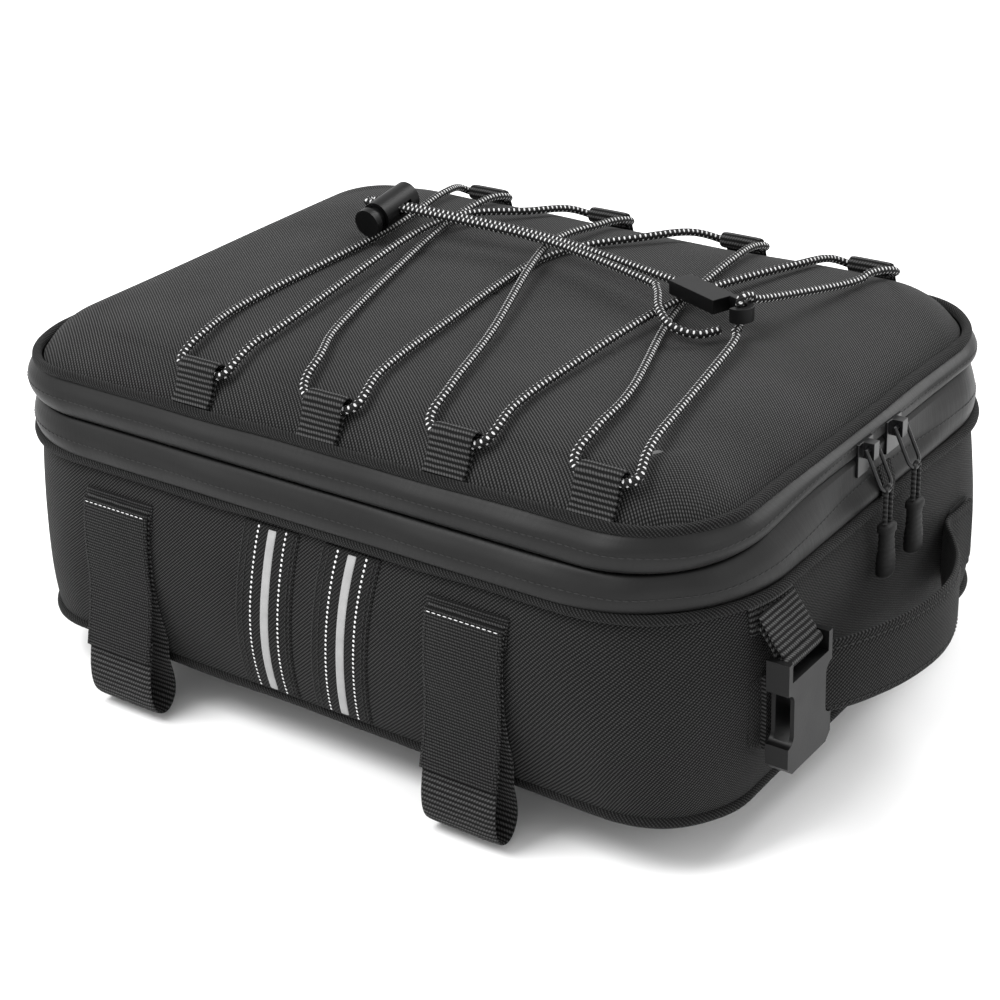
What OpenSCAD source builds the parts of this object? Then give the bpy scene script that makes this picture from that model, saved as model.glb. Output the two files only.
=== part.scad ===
// Soft luggage bag for a motorcycle tail rack, with a hinged zip lid, an
// elastic lacing net, two rack straps, a side buckle and a carry handle.
// X runs along the length, +Y to the hinge side, +Z up.
// The origin is the centre of the base's underside.

/* [Case] */
// Length of the case outside its walls
case_l = 412; // [360:1:500]
// Depth of the case outside its walls
case_w = 304; // [260:1:370]
// Height of the case wall, up to the case piping
case_h = 102; // [85:1:125]
// Corner radius of the case seen from above
corner_r = 55; // [45:1:70]
// Thickness of the outer fabric
fabric_t = 1.6; // [1.2:0.1:2]
// Thickness of the foam inside the walls
foam_t = 5; // [3:0.5:7]
// Thickness of the lining
lining_t = 1; // [0.8:0.1:1.5]
// Thickness of the board in the base
board_t = 2; // [1.5:0.1:3]

/* [Piping and zip] */
// Diameter of the piping cords
piping_d = 5; // [4:0.1:6]
// Height of the lower zip band
band_lower_h = 22; // [16:0.5:28]
// Height of the upper zip band
band_upper_h = 13; // [11:0.5:20]
// Thickness of both zip bands
band_t = 2; // [1.5:0.1:2.5]
// Gap between the two zip bands
slit = 1.5; // [1:0.1:2]
// Side of the square section of each zip coil
coil_s = 2.4; // [1.8:0.1:2.8]

/* [Lid] */
// How far the lower band stands in from the case wall
band_step = 2; // [1.5:0.5:3]
// How far the upper band stands in from the lower band
lid_step = 2; // [1.5:0.5:4]
// Height of the lid's dome above its edge
dome_h = 23; // [16:1:28]
// Distance over which the dome rises from its edge
dome_run = 15; // [10:1:20]
// Thickness of the lid's outer fabric
lid_fabric_t = 1.6; // [1.2:0.1:2]
// Thickness of the lid lining
lid_lining_t = 1.5; // [1:0.1:2]
// Largest angle that the lid opens to
lid_open = 110; // [90:1:120]

/* [Lacing] */
// Diameter of the elastic cord
cord_d = 4; // [3:0.1:4.5]
// Width of the webbing loops on the lid
loop_w = 22; // [18:0.5:25]
// Thickness of the loop webbing
loop_t = 1.6; // [1.2:0.1:2]
// Clearance of the cord in a loop
loop_gap = 0.8; // [0.5:0.1:1.2]
// Diameter of the cord lock
lock_d = 16; // [14:0.5:18]
// Length of the cord lock's barrel
lock_l = 27; // [24:0.5:32]
// Travel of the cord lock's button
lock_press = 4; // [2:0.5:4]
// Length of the cord hook
hook_l = 54; // [50:1:58]
// Width of the cord hook
hook_w = 13; // [12:0.5:15]
// Thickness of the cord hook
hook_t = 7; // [6:0.5:8]

/* [Straps] */
// Width of the rack straps
strap_w = 42; // [36:1:50]
// Thickness of the strap webbing
strap_t = 1.6; // [1.2:0.1:2]
// Place of the left strap along the length
strap_left_x = -114; // [-130:1:-90]
// Place of the right strap along the length
strap_right_x = 94; // [80:1:115]
// Drop of the straps below the base
strap_drop = 22; // [10:1:35]

/* [Trim] */
// Width of the dark reflective tapes
tape_w = 34; // [28:1:40]
// Width of the bright stripe
stripe_w = 5; // [3:0.5:8]
// Thickness of a tape
tape_t = 0.8; // [0.6:0.1:1]
// Place of the left tape along the length
tape_left_x = -27; // [-40:1:-22]
// Place of the right tape along the length
tape_right_x = 22; // [18:1:35]

/* [Buckle and handle] */
// Width of the buckle webbing
tab_w = 30; // [25:1:32]
// Width of the buckle housing
buckle_w = 38; // [36:1:42]
// Length of the buckle housing
buckle_l = 52; // [46:1:60]
// Thickness of the buckle housing
buckle_t = 11; // [9:0.5:13]
// Width of the carry handle
handle_w = 36; // [32:1:44]
// Thickness of the carry handle
handle_t = 3.2; // [2.5:0.1:4]

/* [Zip pulls] */
// Distance between the two sliders
slider_gap = 28; // [24:1:34]
// Length of the wire bails
bail_l = 21; // [18:0.5:24]
// Length of the moulded grips
grip_l = 27; // [22:1:32]

/* [Hidden] */
$fn = 48;

gap = 0.3;                                   // between pieces that move apart
touch = 0.1;                                 // between rounded faces of one body
pr = piping_d / 2;
base_in = 3;                                 // the base stands in under the walls
wall_z = piping_d + touch;                   // the wall starts over the base piping
band_l = case_l - 2 * band_step;
band_w = case_w - 2 * band_step;
band_r = corner_r - band_step;
upl = band_l - 2 * lid_step;
upw = band_w - 2 * lid_step;
up_r = band_r - lid_step;
slit_z = case_h + band_lower_h;
upper_z = slit_z + slit;
edge_z = upper_z + band_upper_h;             // top of the upper band
pipe_z = edge_z + pr + touch;                // centre of the lid piping
lid_z = pipe_z - 1;                          // edge of the lid's fabric
// Outline of the domed fabric, inside the lid piping
dome_l = upl - 4 * pr + 0.8;
dome_w = upw - 4 * pr + 0.8;
dome_r = up_r - 2 * pr + 0.5;
hinge_y = band_w / 2 + 1;
hinge_z = slit_z + slit / 2;

// --- outlines ---------------------------------------------------------------

// Rounded rectangle of exact arcs
module rrect(l, w, r) {
    square([l - 2 * r, w], center = true);
    square([l, w - 2 * r], center = true);
    for (sx = [-1, 1], sy = [-1, 1])
        translate([sx * (l / 2 - r), sy * (w / 2 - r)]) circle(r);
}

// Upright wall that follows a rounded rectangle
module wall_ring(l, w, r, t, z0, z1) {
    translate([0, 0, z0]) linear_extrude(z1 - z0) difference() {
        rrect(l, w, r);
        rrect(l - 2 * t, w - 2 * t, r - t);
    }
}

// Round cord laid along a rounded rectangle
module piping_ring(l, w, r, d, z) {
    translate([0, 0, z]) {
        for (s = [-1, 1]) {
            translate([-l / 2 + r, s * w / 2, 0]) rotate([0, 90, 0]) cylinder(d = d, h = l - 2 * r);
            translate([s * l / 2, -w / 2 + r, 0]) rotate([-90, 0, 0]) cylinder(d = d, h = w - 2 * r);
        }
        for (k = [0:3]) {
            sx = (k == 0 || k == 3) ? 1 : -1;
            sy = (k < 2) ? 1 : -1;
            translate([sx * (l / 2 - r), sy * (w / 2 - r), 0]) rotate([0, 0, 90 * k])
                rotate_extrude(angle = 90) translate([r, 0]) circle(d = d);
        }
    }
}

// Box from two corners
module span(a, b) translate(a) cube(b - a);

// --- the lid's dome ---------------------------------------------------------

// Points along a rounded rectangle, anticlockwise from its right side
function rr_points(l, w, r, n) = [for (k = [0:3]) let (
        sx = (k == 0 || k == 3) ? 1 : -1, sy = (k < 2) ? 1 : -1)
    for (i = [0:n]) let (a = 90 * k + 90 * i / n)
        [sx * (l / 2 - r) + r * cos(a), sy * (w / 2 - r) + r * sin(a)]];

function edge_dist(x, y) = let (
        qx = abs(x) - (dome_l / 2 - dome_r), qy = abs(y) - (dome_w / 2 - dome_r),
        mx = max(qx, 0), my = max(qy, 0))
    dome_r - sqrt(mx * mx + my * my) - min(max(qx, qy), 0);

// Height of the lid's outer fabric over a point
function dome_z(x, y) = lid_z + dome_h * (1 - exp(-max(edge_dist(x, y), 0) / dome_run));

shrink = [1, 0.975, 0.945, 0.905, 0.85, 0.78, 0.66, 0.48, 0.25];
rim = rr_points(dome_l, dome_w, dome_r, 10);
function grid_rows(drop) = [for (s = shrink) [for (p = rim)
    [s * p[0], s * p[1], dome_z(s * p[0], s * p[1]) - drop]]];
function flat_row(z) = [for (p = rim) [p[0], p[1], z]];

// Closed solid between a stack of rings and a point over its last ring
function flatten(rows) = [for (r = rows) for (p = r) p];
module stacked(rows, tip, base) {
    n = len(rows[0]); m = len(rows); last = n * m;
    pts = concat(flatten(rows), [tip, base]);
    faces = concat(
        [for (j = [0:m - 2], i = [0:n - 1]) let (k = (i + 1) % n)
            each [[j * n + i, (j + 1) * n + i, j * n + k], [j * n + k, (j + 1) * n + i, (j + 1) * n + k]]],
        [for (i = [0:n - 1]) let (k = (i + 1) % n) [(m - 1) * n + i, last, (m - 1) * n + k]],
        [for (i = [0:n - 1]) let (k = (i + 1) % n) [i, k, last + 1]]);
    polyhedron(pts, faces, convexity = 4);
}

// Thin domed shell: outer rings, then the inner rings back to the edge
module dome_shell(drop, t) {
    up = grid_rows(drop); down = grid_rows(drop + t);
    n = len(rim); m = len(up); c = n * m;
    z0 = dome_z(0, 0) - drop;
    pts = concat(flatten(up), flatten(down), [[0, 0, z0], [0, 0, z0 - t]]);
    faces = concat(
        [for (j = [0:m - 2], i = [0:n - 1]) let (k = (i + 1) % n)
            each [[j * n + i, (j + 1) * n + i, j * n + k], [j * n + k, (j + 1) * n + i, (j + 1) * n + k]]],
        [for (i = [0:n - 1]) let (k = (i + 1) % n) [(m - 1) * n + i, 2 * c, (m - 1) * n + k]],
        [for (j = [0:m - 2], i = [0:n - 1]) let (k = (i + 1) % n)
            each [[c + j * n + i, c + j * n + k, c + (j + 1) * n + i],
                  [c + j * n + k, c + (j + 1) * n + k, c + (j + 1) * n + i]]],
        [for (i = [0:n - 1]) let (k = (i + 1) % n) [c + (m - 1) * n + i, c + (m - 1) * n + k, 2 * c + 1]],
        [for (i = [0:n - 1]) let (k = (i + 1) % n) each [[i, k, c + i], [k, c + k, c + i]]]);
    polyhedron(pts, faces, convexity = 6);
}

// --- cords ------------------------------------------------------------------

function unit(v) = v / norm(v);
function along(p, i, closed) = let (n = len(p),
        a = closed ? p[(i + n - 1) % n] : p[max(i - 1, 0)],
        b = closed ? p[(i + 1) % n] : p[min(i + 1, n - 1)],
        u = (a == p[i]) ? [0, 0, 0] : unit(p[i] - a),
        v = (b == p[i]) ? [0, 0, 0] : unit(b - p[i]))
    unit(u + v);

// Tube of one cord along its route
module cord_tube(p, d, sides, closed) {
    n = len(p);
    pts = [for (i = [0:n - 1]) let (t = along(p, i, closed),
            u = unit(cross(t, [0, 0, 1])), v = cross(t, u))
        for (k = [0:sides - 1]) p[i] + d / 2 * (cos(360 * k / sides) * u + sin(360 * k / sides) * v)];
    last = closed ? n - 1 : n - 2;
    faces = concat(
        [for (i = [0:last], k = [0:sides - 1]) let (
                j = (i + 1) % n, q = (k + 1) % sides,
                a = i * sides + k, b = i * sides + q, c = j * sides + q, e = j * sides + k)
            each [[a, c, b], [a, e, c]]],
        closed ? [] : [[for (k = [0:sides - 1]) k], [for (k = [sides - 1:-1:0]) (n - 1) * sides + k]]);
    polyhedron(pts, faces, convexity = 10);
}

// Route points are [x, y, height over the lid's fabric], and a point in a loop
// adds the loop's own x, where its height is taken
function over_lid(q) = [for (p = q) [p[0], p[1], dome_z(len(p) > 3 ? p[3] : p[0], p[1]) + p[2]]];

front_x = [-72, 4, 75, 150];
back_x = [-100, -20, 62, 136];
loop_in = 10.5;                              // a loop's cord, in from the fabric's edge
loop_r = cord_d / 2 + loop_gap;              // inner radius of a loop
loop_up = loop_r + loop_t + 1.6;             // cord centre over the fabric in a loop
fy = -(dome_w / 2 - loop_in);
by = dome_w / 2 - loop_in;
lz = loop_up;
fx = front_x;
bx = back_x;
lacing_route = [
    [-86, fy, lz, fx[0]], [-91, -110, 5], [-96, -70, 2.4], [-99, 40, 2.4], [-107, 104, 4], [-114, by, lz, bx[0]],
    [-86, by, lz, bx[0]], [-82, 104, 5], [-75, 52, 2.5], [-38, -70, 3], [-14, -108, 4], [-10, fy, lz, fx[1]],
    [18, fy, lz, fx[1]], [15, -108, 5], [8, -60, 3], [-3, 48, 2.5], [34, 100, 4], [48, by, lz, bx[2]],
    [76, by, lz, bx[2]], [80, 104, 5], [92, 20, 2.4], [124, -70, 3], [134, -108, 4], [136, fy, lz, fx[3]],
    [164, fy, lz, fx[3]], [160, -108, 5], [140, -14, 5], [134, 2, 6], [132.5, 8.4, 7], [132.5, 9.2, 19],
    [133.4, 16, 19.2], [136, 26, 15], [147, 88, 4], [149, 108, 5.5], [150, by, lz, bx[3]],
    [122, by, lz, bx[3]], [116, 100, 5], [92, 20, 6.7], [88, -80, 4], [88, -108, 5], [89, fy, lz, fx[2]],
    [61, fy, lz, fx[2]], [56, -106, 5], [34, -50, 4], [-3, 48, 7.5], [-7, 104, 5], [-6, by, lz, bx[1]],
    [-34, by, lz, bx[1]], [-42, 104, 5], [-75, 52, 7.5], [-60, -80, 4], [-58, -108, 5], [-58, fy, lz, fx[0]]];
strand = 2.3;                                // half the spacing of the doubled cord
lock_at = [-96, 44];
tension_route = [
    [94, 24.6, 13], [82, 29.4, 13], [-2, 50.3, 12.5], [-74, 46.3, 16], [-108, 46.3, 16],
    [-112, 45.2, 16], [-112, 42.8, 16], [-108, 41.7, 16],
    [-74, 41.7, 16], [-2, 45.7, 12.5], [70, 24.5, 12.5], [84, 15, 12.5],
    [95, -1, 11], [107, -10, 8], [119, -8, 5.5], [126, 2, 5.5]];
lock_h = 16;                                 // doubled cord over the fabric at the lock
lock_z = dome_z(lock_at[0], lock_at[1]) + lock_h;
lock_tilt = 8;
lock_cross = 12;                             // cord centre from the barrel's closed end
hook_at = [88, 27];
hook_turn = -22;
hook_h = 13;                                 // hook centre over the fabric
hook_arm = 3.2;                              // width of the hook's bent arm
hook_z = dome_z(hook_at[0], hook_at[1]) + hook_h;

// --- case -------------------------------------------------------------------

module base_panel() color("#2b2b2b")
    linear_extrude(2) rrect(case_l - 2 * base_in - 2 * pr - 2 * touch, case_w - 2 * base_in - 2 * pr - 2 * touch,
        corner_r - base_in - pr - touch);

inner_in = fabric_t + foam_t + touch;        // the lining stands in by this much

module base_board() color("#8a8a86")
    translate([0, 0, 2]) linear_extrude(board_t)
        rrect(case_l - 2 * inner_in - 1, case_w - 2 * inner_in - 1, corner_r - inner_in - 0.5);

module case_wall() color("#303030")
    wall_ring(case_l, case_w, corner_r, fabric_t, wall_z, case_h);

module wall_foam() color("#6d6d6d")
    wall_ring(case_l - 2 * fabric_t, case_w - 2 * fabric_t, corner_r - fabric_t, foam_t, wall_z, case_h);

module case_lining() color("#4a4a4c") difference() {
    translate([0, 0, 2 + board_t]) linear_extrude(slit_z - 8 - 2 - board_t)
        rrect(case_l - 2 * inner_in, case_w - 2 * inner_in, corner_r - inner_in);
    translate([0, 0, 2 + board_t + lining_t]) linear_extrude(slit_z)
        rrect(case_l - 2 * inner_in - 2 * lining_t, case_w - 2 * inner_in - 2 * lining_t,
            corner_r - inner_in - lining_t);
}

module case_piping() color("#262626")
    piping_ring(case_l + piping_d + 2 * touch, case_w + piping_d + 2 * touch, corner_r + pr + touch, piping_d, case_h);

module base_piping() color("#262626")
    piping_ring(case_l - 2 * base_in, case_w - 2 * base_in, corner_r - base_in, piping_d, pr);

module zip_band_lower() color("#3c3c3c")
    wall_ring(band_l, band_w, band_r, band_t, case_h, slit_z);

// A zip coil runs round three sides and stops short of the hinge side
module coil(l, w, r, z) intersection() {
    wall_ring(l, w, r, coil_s, z, z + coil_s);
    translate([-l, -w, z - 1]) cube([2 * l, 2 * w - (w / 2 + corner_r), 20]);
}

module zip_coil_lower() color("#1d1d1d")
    coil(band_l - 2 * band_t - 2 * touch, band_w - 2 * band_t - 2 * touch, band_r - band_t - touch,
        slit_z - coil_s - 0.2);

module zip_garage() color("#2c2c2c")
    translate([band_l / 2 + touch, slider_y - 6, case_h + pr + 0.5]) cube([1.4, 12, slit_z - case_h - pr - 2]);

hinge_fabric_l = case_l - 2 * corner_r - 20;
module hinge_fabric() color("#333333")
    translate([-hinge_fabric_l / 2, band_w / 2 + 0.05, slit_z - 8]) cube([hinge_fabric_l, 0.9, 16]);

// --- reflective tapes -------------------------------------------------------

module tape(x) color("#1f1f1f")
    translate([x - tape_w / 2, -case_w / 2 - tape_t, wall_z + 3]) cube([tape_w, tape_t, case_h - pr - wall_z - 4]);
module stripe(x) color("#d0d0d0")
    translate([x - stripe_w / 2, -case_w / 2 - tape_t - 0.5, wall_z + 3]) cube([stripe_w, 0.5, case_h - pr - wall_z - 4]);

module reflective_tape_left() tape(tape_left_x);
module reflective_tape_right() tape(tape_right_x);
module reflective_stripe_left() stripe(tape_left_x + 1);
module reflective_stripe_right() stripe(tape_right_x + 1);

// --- rack straps ------------------------------------------------------------

strap_z = case_h - 18;                       // sewn edge of the straps
front_y = -case_w / 2;
back_y = front_y - strap_t - gap;            // inner face of a strap's back layer
strap_pivot_y = back_y - strap_t / 2;
loop_r_out = 9;                              // outer radius of the bottom bend
loop_cy = back_y - loop_r_out;
loop_cz = loop_r_out - strap_drop;
lap_z = 12;                                  // the flap ends here
flap_top_y = back_y - strap_t - 0.1;         // inner face of the flap at the top
flap_low_y = flap_top_y - 10.3;              // inner face of the flap at its end
function flap_in(z) = flap_top_y + (flap_low_y - flap_top_y) * (strap_z - z) / (strap_z - lap_z);

module strap_anchor(x) color("#242424")
    translate([x - strap_w / 2, front_y - strap_t, strap_z - 6]) cube([strap_w, strap_t, 12]);

// Draws a [y, z] outline across the strap's width
module across(x, w) translate([x + w / 2, 0, 0]) rotate([0, 0, 90]) rotate([90, 0, 0])
    mirror([0, 0, 1]) linear_extrude(w) children();

module strap_loop(x) color("#292929") across(x, strap_w) {
    r = loop_r_out; ri = r - strap_t;
    polygon(concat(
        [[back_y, strap_z]],
        [for (a = [0:-12:-180]) [loop_cy + r * cos(a), loop_cz + r * sin(a)]],
        [[flap_in(lap_z), lap_z], [flap_in(lap_z + 10), lap_z + 10],
         [flap_in(lap_z + 10) + strap_t, lap_z + 10], [flap_in(lap_z) + strap_t, lap_z]],
        [for (a = [-180:12:0]) [loop_cy + ri * cos(a), loop_cz + ri * sin(a)]],
        [[back_y - strap_t, strap_z]]));
}

module strap_flap(x) color("#202020") across(x, strap_w)
    polygon([[flap_low_y, lap_z], [flap_low_y - strap_t, lap_z], [flap_top_y - strap_t, strap_z],
        [flap_top_y, strap_z]]);

module strap_anchor_left() strap_anchor(strap_left_x);
module strap_anchor_right() strap_anchor(strap_right_x);
module strap_loop_left() strap_loop(strap_left_x);
module strap_flap_left() strap_flap(strap_left_x);
module strap_loop_right() strap_loop(strap_right_x);
module strap_flap_right() strap_flap(strap_right_x);

// --- buckle -----------------------------------------------------------------

end_x = case_l / 2;
buckle_y = -95;
bar_z = case_h - 25;
bar_x = end_x + 16;
bar_r = 1.6;
eye_r = bar_r + gap;
tab_t = 1.8;
tab_x = end_x + tab_t + touch + gap + 1;     // pivot of the hanging tab
tab_z = bar_z + 12;
tab_lean = atan2(bar_x - tab_x, tab_z - bar_z);
tab_len = norm([bar_x - tab_x, tab_z - bar_z]);

module buckle_anchor() color("#272727")
    translate([end_x + touch, buckle_y - tab_w / 2, bar_z - 3]) cube([tab_t, tab_w, case_h - pr + 2.7 - bar_z]);

// Hanging webbing: a folded strip with an eye round the housing's bar
module buckle_tab() color("#272727")
    translate([bar_x, buckle_y - tab_w / 2, bar_z]) rotate([-90, 0, 0]) difference() {
        union() {
            cylinder(r = eye_r + tab_t, h = tab_w);
            rotate([0, 0, -90 - tab_lean]) translate([0, -tab_t, 0]) cube([tab_len, 2 * tab_t, tab_w]);
        }
        translate([0, 0, -1]) cylinder(r = eye_r, h = tab_w + 2);
    }

// Housing in its own place: bar at the origin, body hanging below, mouth down
module housing_outline() {
    hw = buckle_w / 2;
    polygon([[-hw, 3], [hw, 3], [hw, -buckle_l + 4], [hw - 4, -buckle_l], [-hw + 4, -buckle_l], [-hw, -buckle_l + 4]]);
}
module buckle_housing() color("#1b1b1b")
    translate([bar_x, buckle_y, bar_z]) {
        difference() {
            translate([-buckle_t / 2, 0, 0]) rotate([90, 0, 90]) linear_extrude(buckle_t) housing_outline();
            // window for the webbing
            translate([-buckle_t, -tab_w / 2 - 0.8, -6.5]) cube([2 * buckle_t, tab_w + 1.6, 20]);
            // socket for the plug
            translate([-buckle_t / 2 + 2, -buckle_w / 2 + 3.5, -buckle_l - 1]) cube([buckle_t - 4, buckle_w - 7, buckle_l - 9]);
            // side windows for the prongs
            for (s = [-1, 1]) translate([-buckle_t, s * buckle_w / 2, -25]) {
                translate([0, -5, -8]) cube([2 * buckle_t, 10, 16]);
                for (k = [-8, 8]) translate([0, 0, k]) rotate([0, 90, 0]) cylinder(r = 5, h = 2 * buckle_t);
            }
        }
        translate([0, -tab_w / 2 - 1.2, 0]) rotate([-90, 0, 0]) cylinder(r = bar_r, h = tab_w + 2.4);
    }

// --- handle -----------------------------------------------------------------

handle_z = case_h / 2 - 3;
// Flat end patches on the wall and the strap's line between them, as [x, y]
patch_x = end_x + touch;
foot = handle_t / 2 + 1.6 + 2 * touch;
handle_line = [[end_x + 11, -69.5], [end_x + 22, -52], [end_x + 31, -28], [end_x + 35, -4], [end_x + 34, 16],
    [end_x + 28, 35], [end_x + 19, 50], [end_x + 11, 60]];
root_front_line = [[end_x + foot, -100], [end_x + foot, -88], [end_x + foot + 1.2, -82], [end_x + foot + 3.4, -76],
    [end_x + 10.7, -70]];
root_rear_line = [[end_x + 10.7, 60.5], [end_x + foot + 1, 70], [end_x + foot, 76], [end_x + foot, 90]];

function side_point(p, i, s) = let (n = len(p),
        u = i > 0 ? unit(p[i] - p[i - 1]) : unit(p[1] - p[0]),
        v = i < n - 1 ? unit(p[i + 1] - p[i]) : unit(p[n - 1] - p[n - 2]),
        t = unit(u + v)) p[i] + s * handle_t / 2 * [t[1], -t[0]];
module ribbon(p, w, z) translate([0, 0, z - w / 2]) linear_extrude(w) polygon(concat(
    [for (i = [0:len(p) - 1]) side_point(p, i, 1)], [for (i = [len(p) - 1:-1:0]) side_point(p, i, -1)]));

module patch(y) color("#2a2a2a") translate([patch_x, y, handle_z]) rotate([90, 0, 90]) linear_extrude(1.6) {
    square([28, handle_w - 8], center = true);
    square([20, handle_w], center = true);
    for (a = [-1, 1], b = [-1, 1]) translate([a * 10, b * (handle_w / 2 - 4)]) circle(4);
}
module handle_patch_front() patch(-98);
module handle_patch_rear() patch(84);
module handle_root_front() color("#2d2d2d") ribbon(root_front_line, handle_w - 3, handle_z);
module handle_root_rear() color("#2d2d2d") ribbon(root_rear_line, handle_w - 3, handle_z);
module handle_strap() color("#2d2d2d") ribbon(handle_line, handle_w, handle_z);

// --- lid --------------------------------------------------------------------

module lid_panel() color("#3a3a3a") dome_shell(0, lid_fabric_t);
module lid_foam() color("#6d6d6d") {
    under = lid_z - lid_fabric_t - 3;
    rows = concat([flat_row(under)], grid_rows(lid_fabric_t + touch));
    stacked(rows, [0, 0, dome_z(0, 0) - lid_fabric_t - touch], [0, 0, under]);
}
module lid_lining() color("#4a4a4c")
    translate([0, 0, lid_z - lid_fabric_t - 3 - touch - lid_lining_t]) linear_extrude(lid_lining_t)
        rrect(upl - 2 * band_t - 2 * touch, upw - 2 * band_t - 2 * touch, up_r - band_t - touch);
module lid_piping() color("#262626")
    piping_ring(upl - 2 * pr + 1, upw - 2 * pr + 1, up_r - pr + 0.5, piping_d, pipe_z);
module zip_band_upper() color("#3c3c3c")
    wall_ring(upl, upw, up_r, band_t, upper_z, edge_z);
module zip_coil_upper() color("#1d1d1d")
    coil(upl - 2 * band_t - 2 * touch, upw - 2 * band_t - 2 * touch, up_r - band_t - touch, upper_z + 0.2);

// Webbing loop: an eye round the cord and a tail sewn at the fabric's edge
module webbing_loop(x, side) {
    y = side * (dome_w / 2 - loop_in); zc = dome_z(x, y) + loop_up;
    tail_y = side * (dome_w / 2 - 1); tail_z = dome_z(x, tail_y) + 0.4;
    difference() {
        union() {
            translate([x - loop_w / 2, y, zc]) rotate([0, 90, 0]) cylinder(r = loop_r + loop_t, h = loop_w);
            across(x, loop_w) polygon([[tail_y, tail_z], [tail_y, tail_z + 2.4], [y + side * 1.5, zc + loop_r],
                [y + side * (loop_r - 0.5), zc - 1.5]]);
        }
        translate([x - loop_w, y, zc]) rotate([0, 90, 0]) cylinder(r = loop_r, h = 2 * loop_w);
    }
}
module front_loops() color("#292929") for (x = front_x) webbing_loop(x, -1);
module back_loops() color("#292929") for (x = back_x) webbing_loop(x, 1);

module lacing_cord() color("#1c1c1c") cord_tube(over_lid(lacing_route), cord_d, 8, true);
module tension_cord() color("#1c1c1c") cord_tube(over_lid(tension_route), cord_d, 8, false);

// Moulded hook: a flat body with a cord hole at its tail and an open nose
module cord_hook() color("#1e1e1e") translate([hook_at[0], hook_at[1], hook_z]) rotate([0, 0, hook_turn])
    difference() {
        translate([0, 0, -hook_t / 2]) linear_extrude(hook_t) {
            translate([2, -hook_w / 2]) square([hook_l - 20, hook_w]);
            translate([hook_l - 19, hook_w / 2 - hook_arm]) square([13, hook_arm]);
            translate([hook_l - 6, 0]) difference() {
                circle(hook_w / 2);
                circle(hook_w / 2 - hook_arm);
                translate([-hook_w, -hook_w]) square([hook_w, 2 * hook_w]);
            }
        }
        // the doubled cord's end is held in the tail
        translate([0, 0, 0]) rotate([0, 90, 0]) cylinder(d = cord_d + 2 * gap, h = 16);
    }

// Places children in the cord lock's own frame: z runs from its closed end to its button
module lock_frame() translate([lock_at[0], lock_at[1], lock_z])
    rotate([90 + lock_tilt, 0, 0]) translate([0, 0, -lock_cross]) children();

lock_wall = 2;
lock_bore = lock_d / 2 - lock_wall;
slot_half = strand + cord_d / 2 + gap;       // half the length of the cords' slot
slot_r = cord_d / 2 + gap + 0.2;
module cord_slot(z0, z1) translate([-lock_d, -slot_r, z0]) cube([2 * lock_d, 2 * slot_r, z1 - z0]);

module cord_lock_barrel() color("#1e1e1e") lock_frame() difference() {
    cylinder(r = lock_d / 2, h = lock_l);
    translate([0, 0, lock_wall]) cylinder(r = lock_bore, h = lock_l);
    cord_slot(lock_cross - slot_half - 1, lock_cross + slot_half + 1);
}
spring_z0 = lock_wall;
plunger_z0 = lock_wall + lock_press + 0.6;
module cord_lock_spring() color("#9a9a9a") lock_frame()
    cord_tube([for (k = [0:36]) [(lock_bore - 2) * cos(30 * k), (lock_bore - 2) * sin(30 * k),
        spring_z0 + 0.6 + k * (plunger_z0 - spring_z0 - 1.2) / 36]], 0.9, 8, false);
module cord_lock_button() color("#232323") lock_frame() difference() {
    union() {
        translate([0, 0, plunger_z0]) cylinder(r = lock_bore - gap, h = lock_l + 1 - plunger_z0);
        translate([0, 0, lock_l + lock_press + gap]) cylinder(r = lock_d / 2 - 0.5, h = 4);
        translate([0, 0, lock_l]) cylinder(r = lock_bore - gap, h = lock_press + 1);
    }
    cord_slot(lock_cross - slot_half - 0.6, lock_cross + slot_half + lock_press + 0.6);
}

// --- zip sliders and pulls --------------------------------------------------

slider_y = 6;                                // the sliders meet here
slider_z = slit_z + 4;
slider_x = band_l / 2 + gap;
pin_x = slider_x + 5;
pin_z = slider_z + 5;
pin_r = 0.9;
bail_w = 10;
bail_lean = 25;

module slider(y) color("#232323") translate([slider_x, y, slider_z]) difference() {
    union() {
        translate([0, -7, -8]) cube([2.2, 14, 16]);
        translate([0, -2.5, 0]) cube([7.5, 5, 8]);
    }
    translate([pin_x - slider_x, -5, pin_z - slider_z]) rotate([-90, 0, 0]) cylinder(r = pin_r + 0.1, h = 10);
}

// Wire bail: a pin, two arms and a bend, leaning out over the case piping
module bail(y) color("#262626") translate([pin_x, y, pin_z]) rotate([0, -bail_lean, 0]) {
    rotate([-90, 0, 0]) translate([0, 0, -bail_w / 2]) cylinder(r = pin_r, h = bail_w);
    for (s = [-1, 1]) {
        translate([0, s * bail_w / 2, -bail_l + bail_w / 2]) cylinder(r = pin_r, h = bail_l - bail_w / 2);
        translate([0, s * bail_w / 2, 0]) sphere(r = pin_r);
    }
    translate([0, 0, -bail_l + bail_w / 2]) rotate([90, 0, 90]) rotate([0, 0, 180])
        rotate_extrude(angle = 180) translate([bail_w / 2, 0]) circle(r = pin_r);
}
link_x = pin_x + bail_l * sin(bail_lean);
link_z = pin_z - bail_l * cos(bail_lean);
link_r = 1.2;
link_R = pin_r + gap + link_r;
link_drop = 16;

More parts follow.
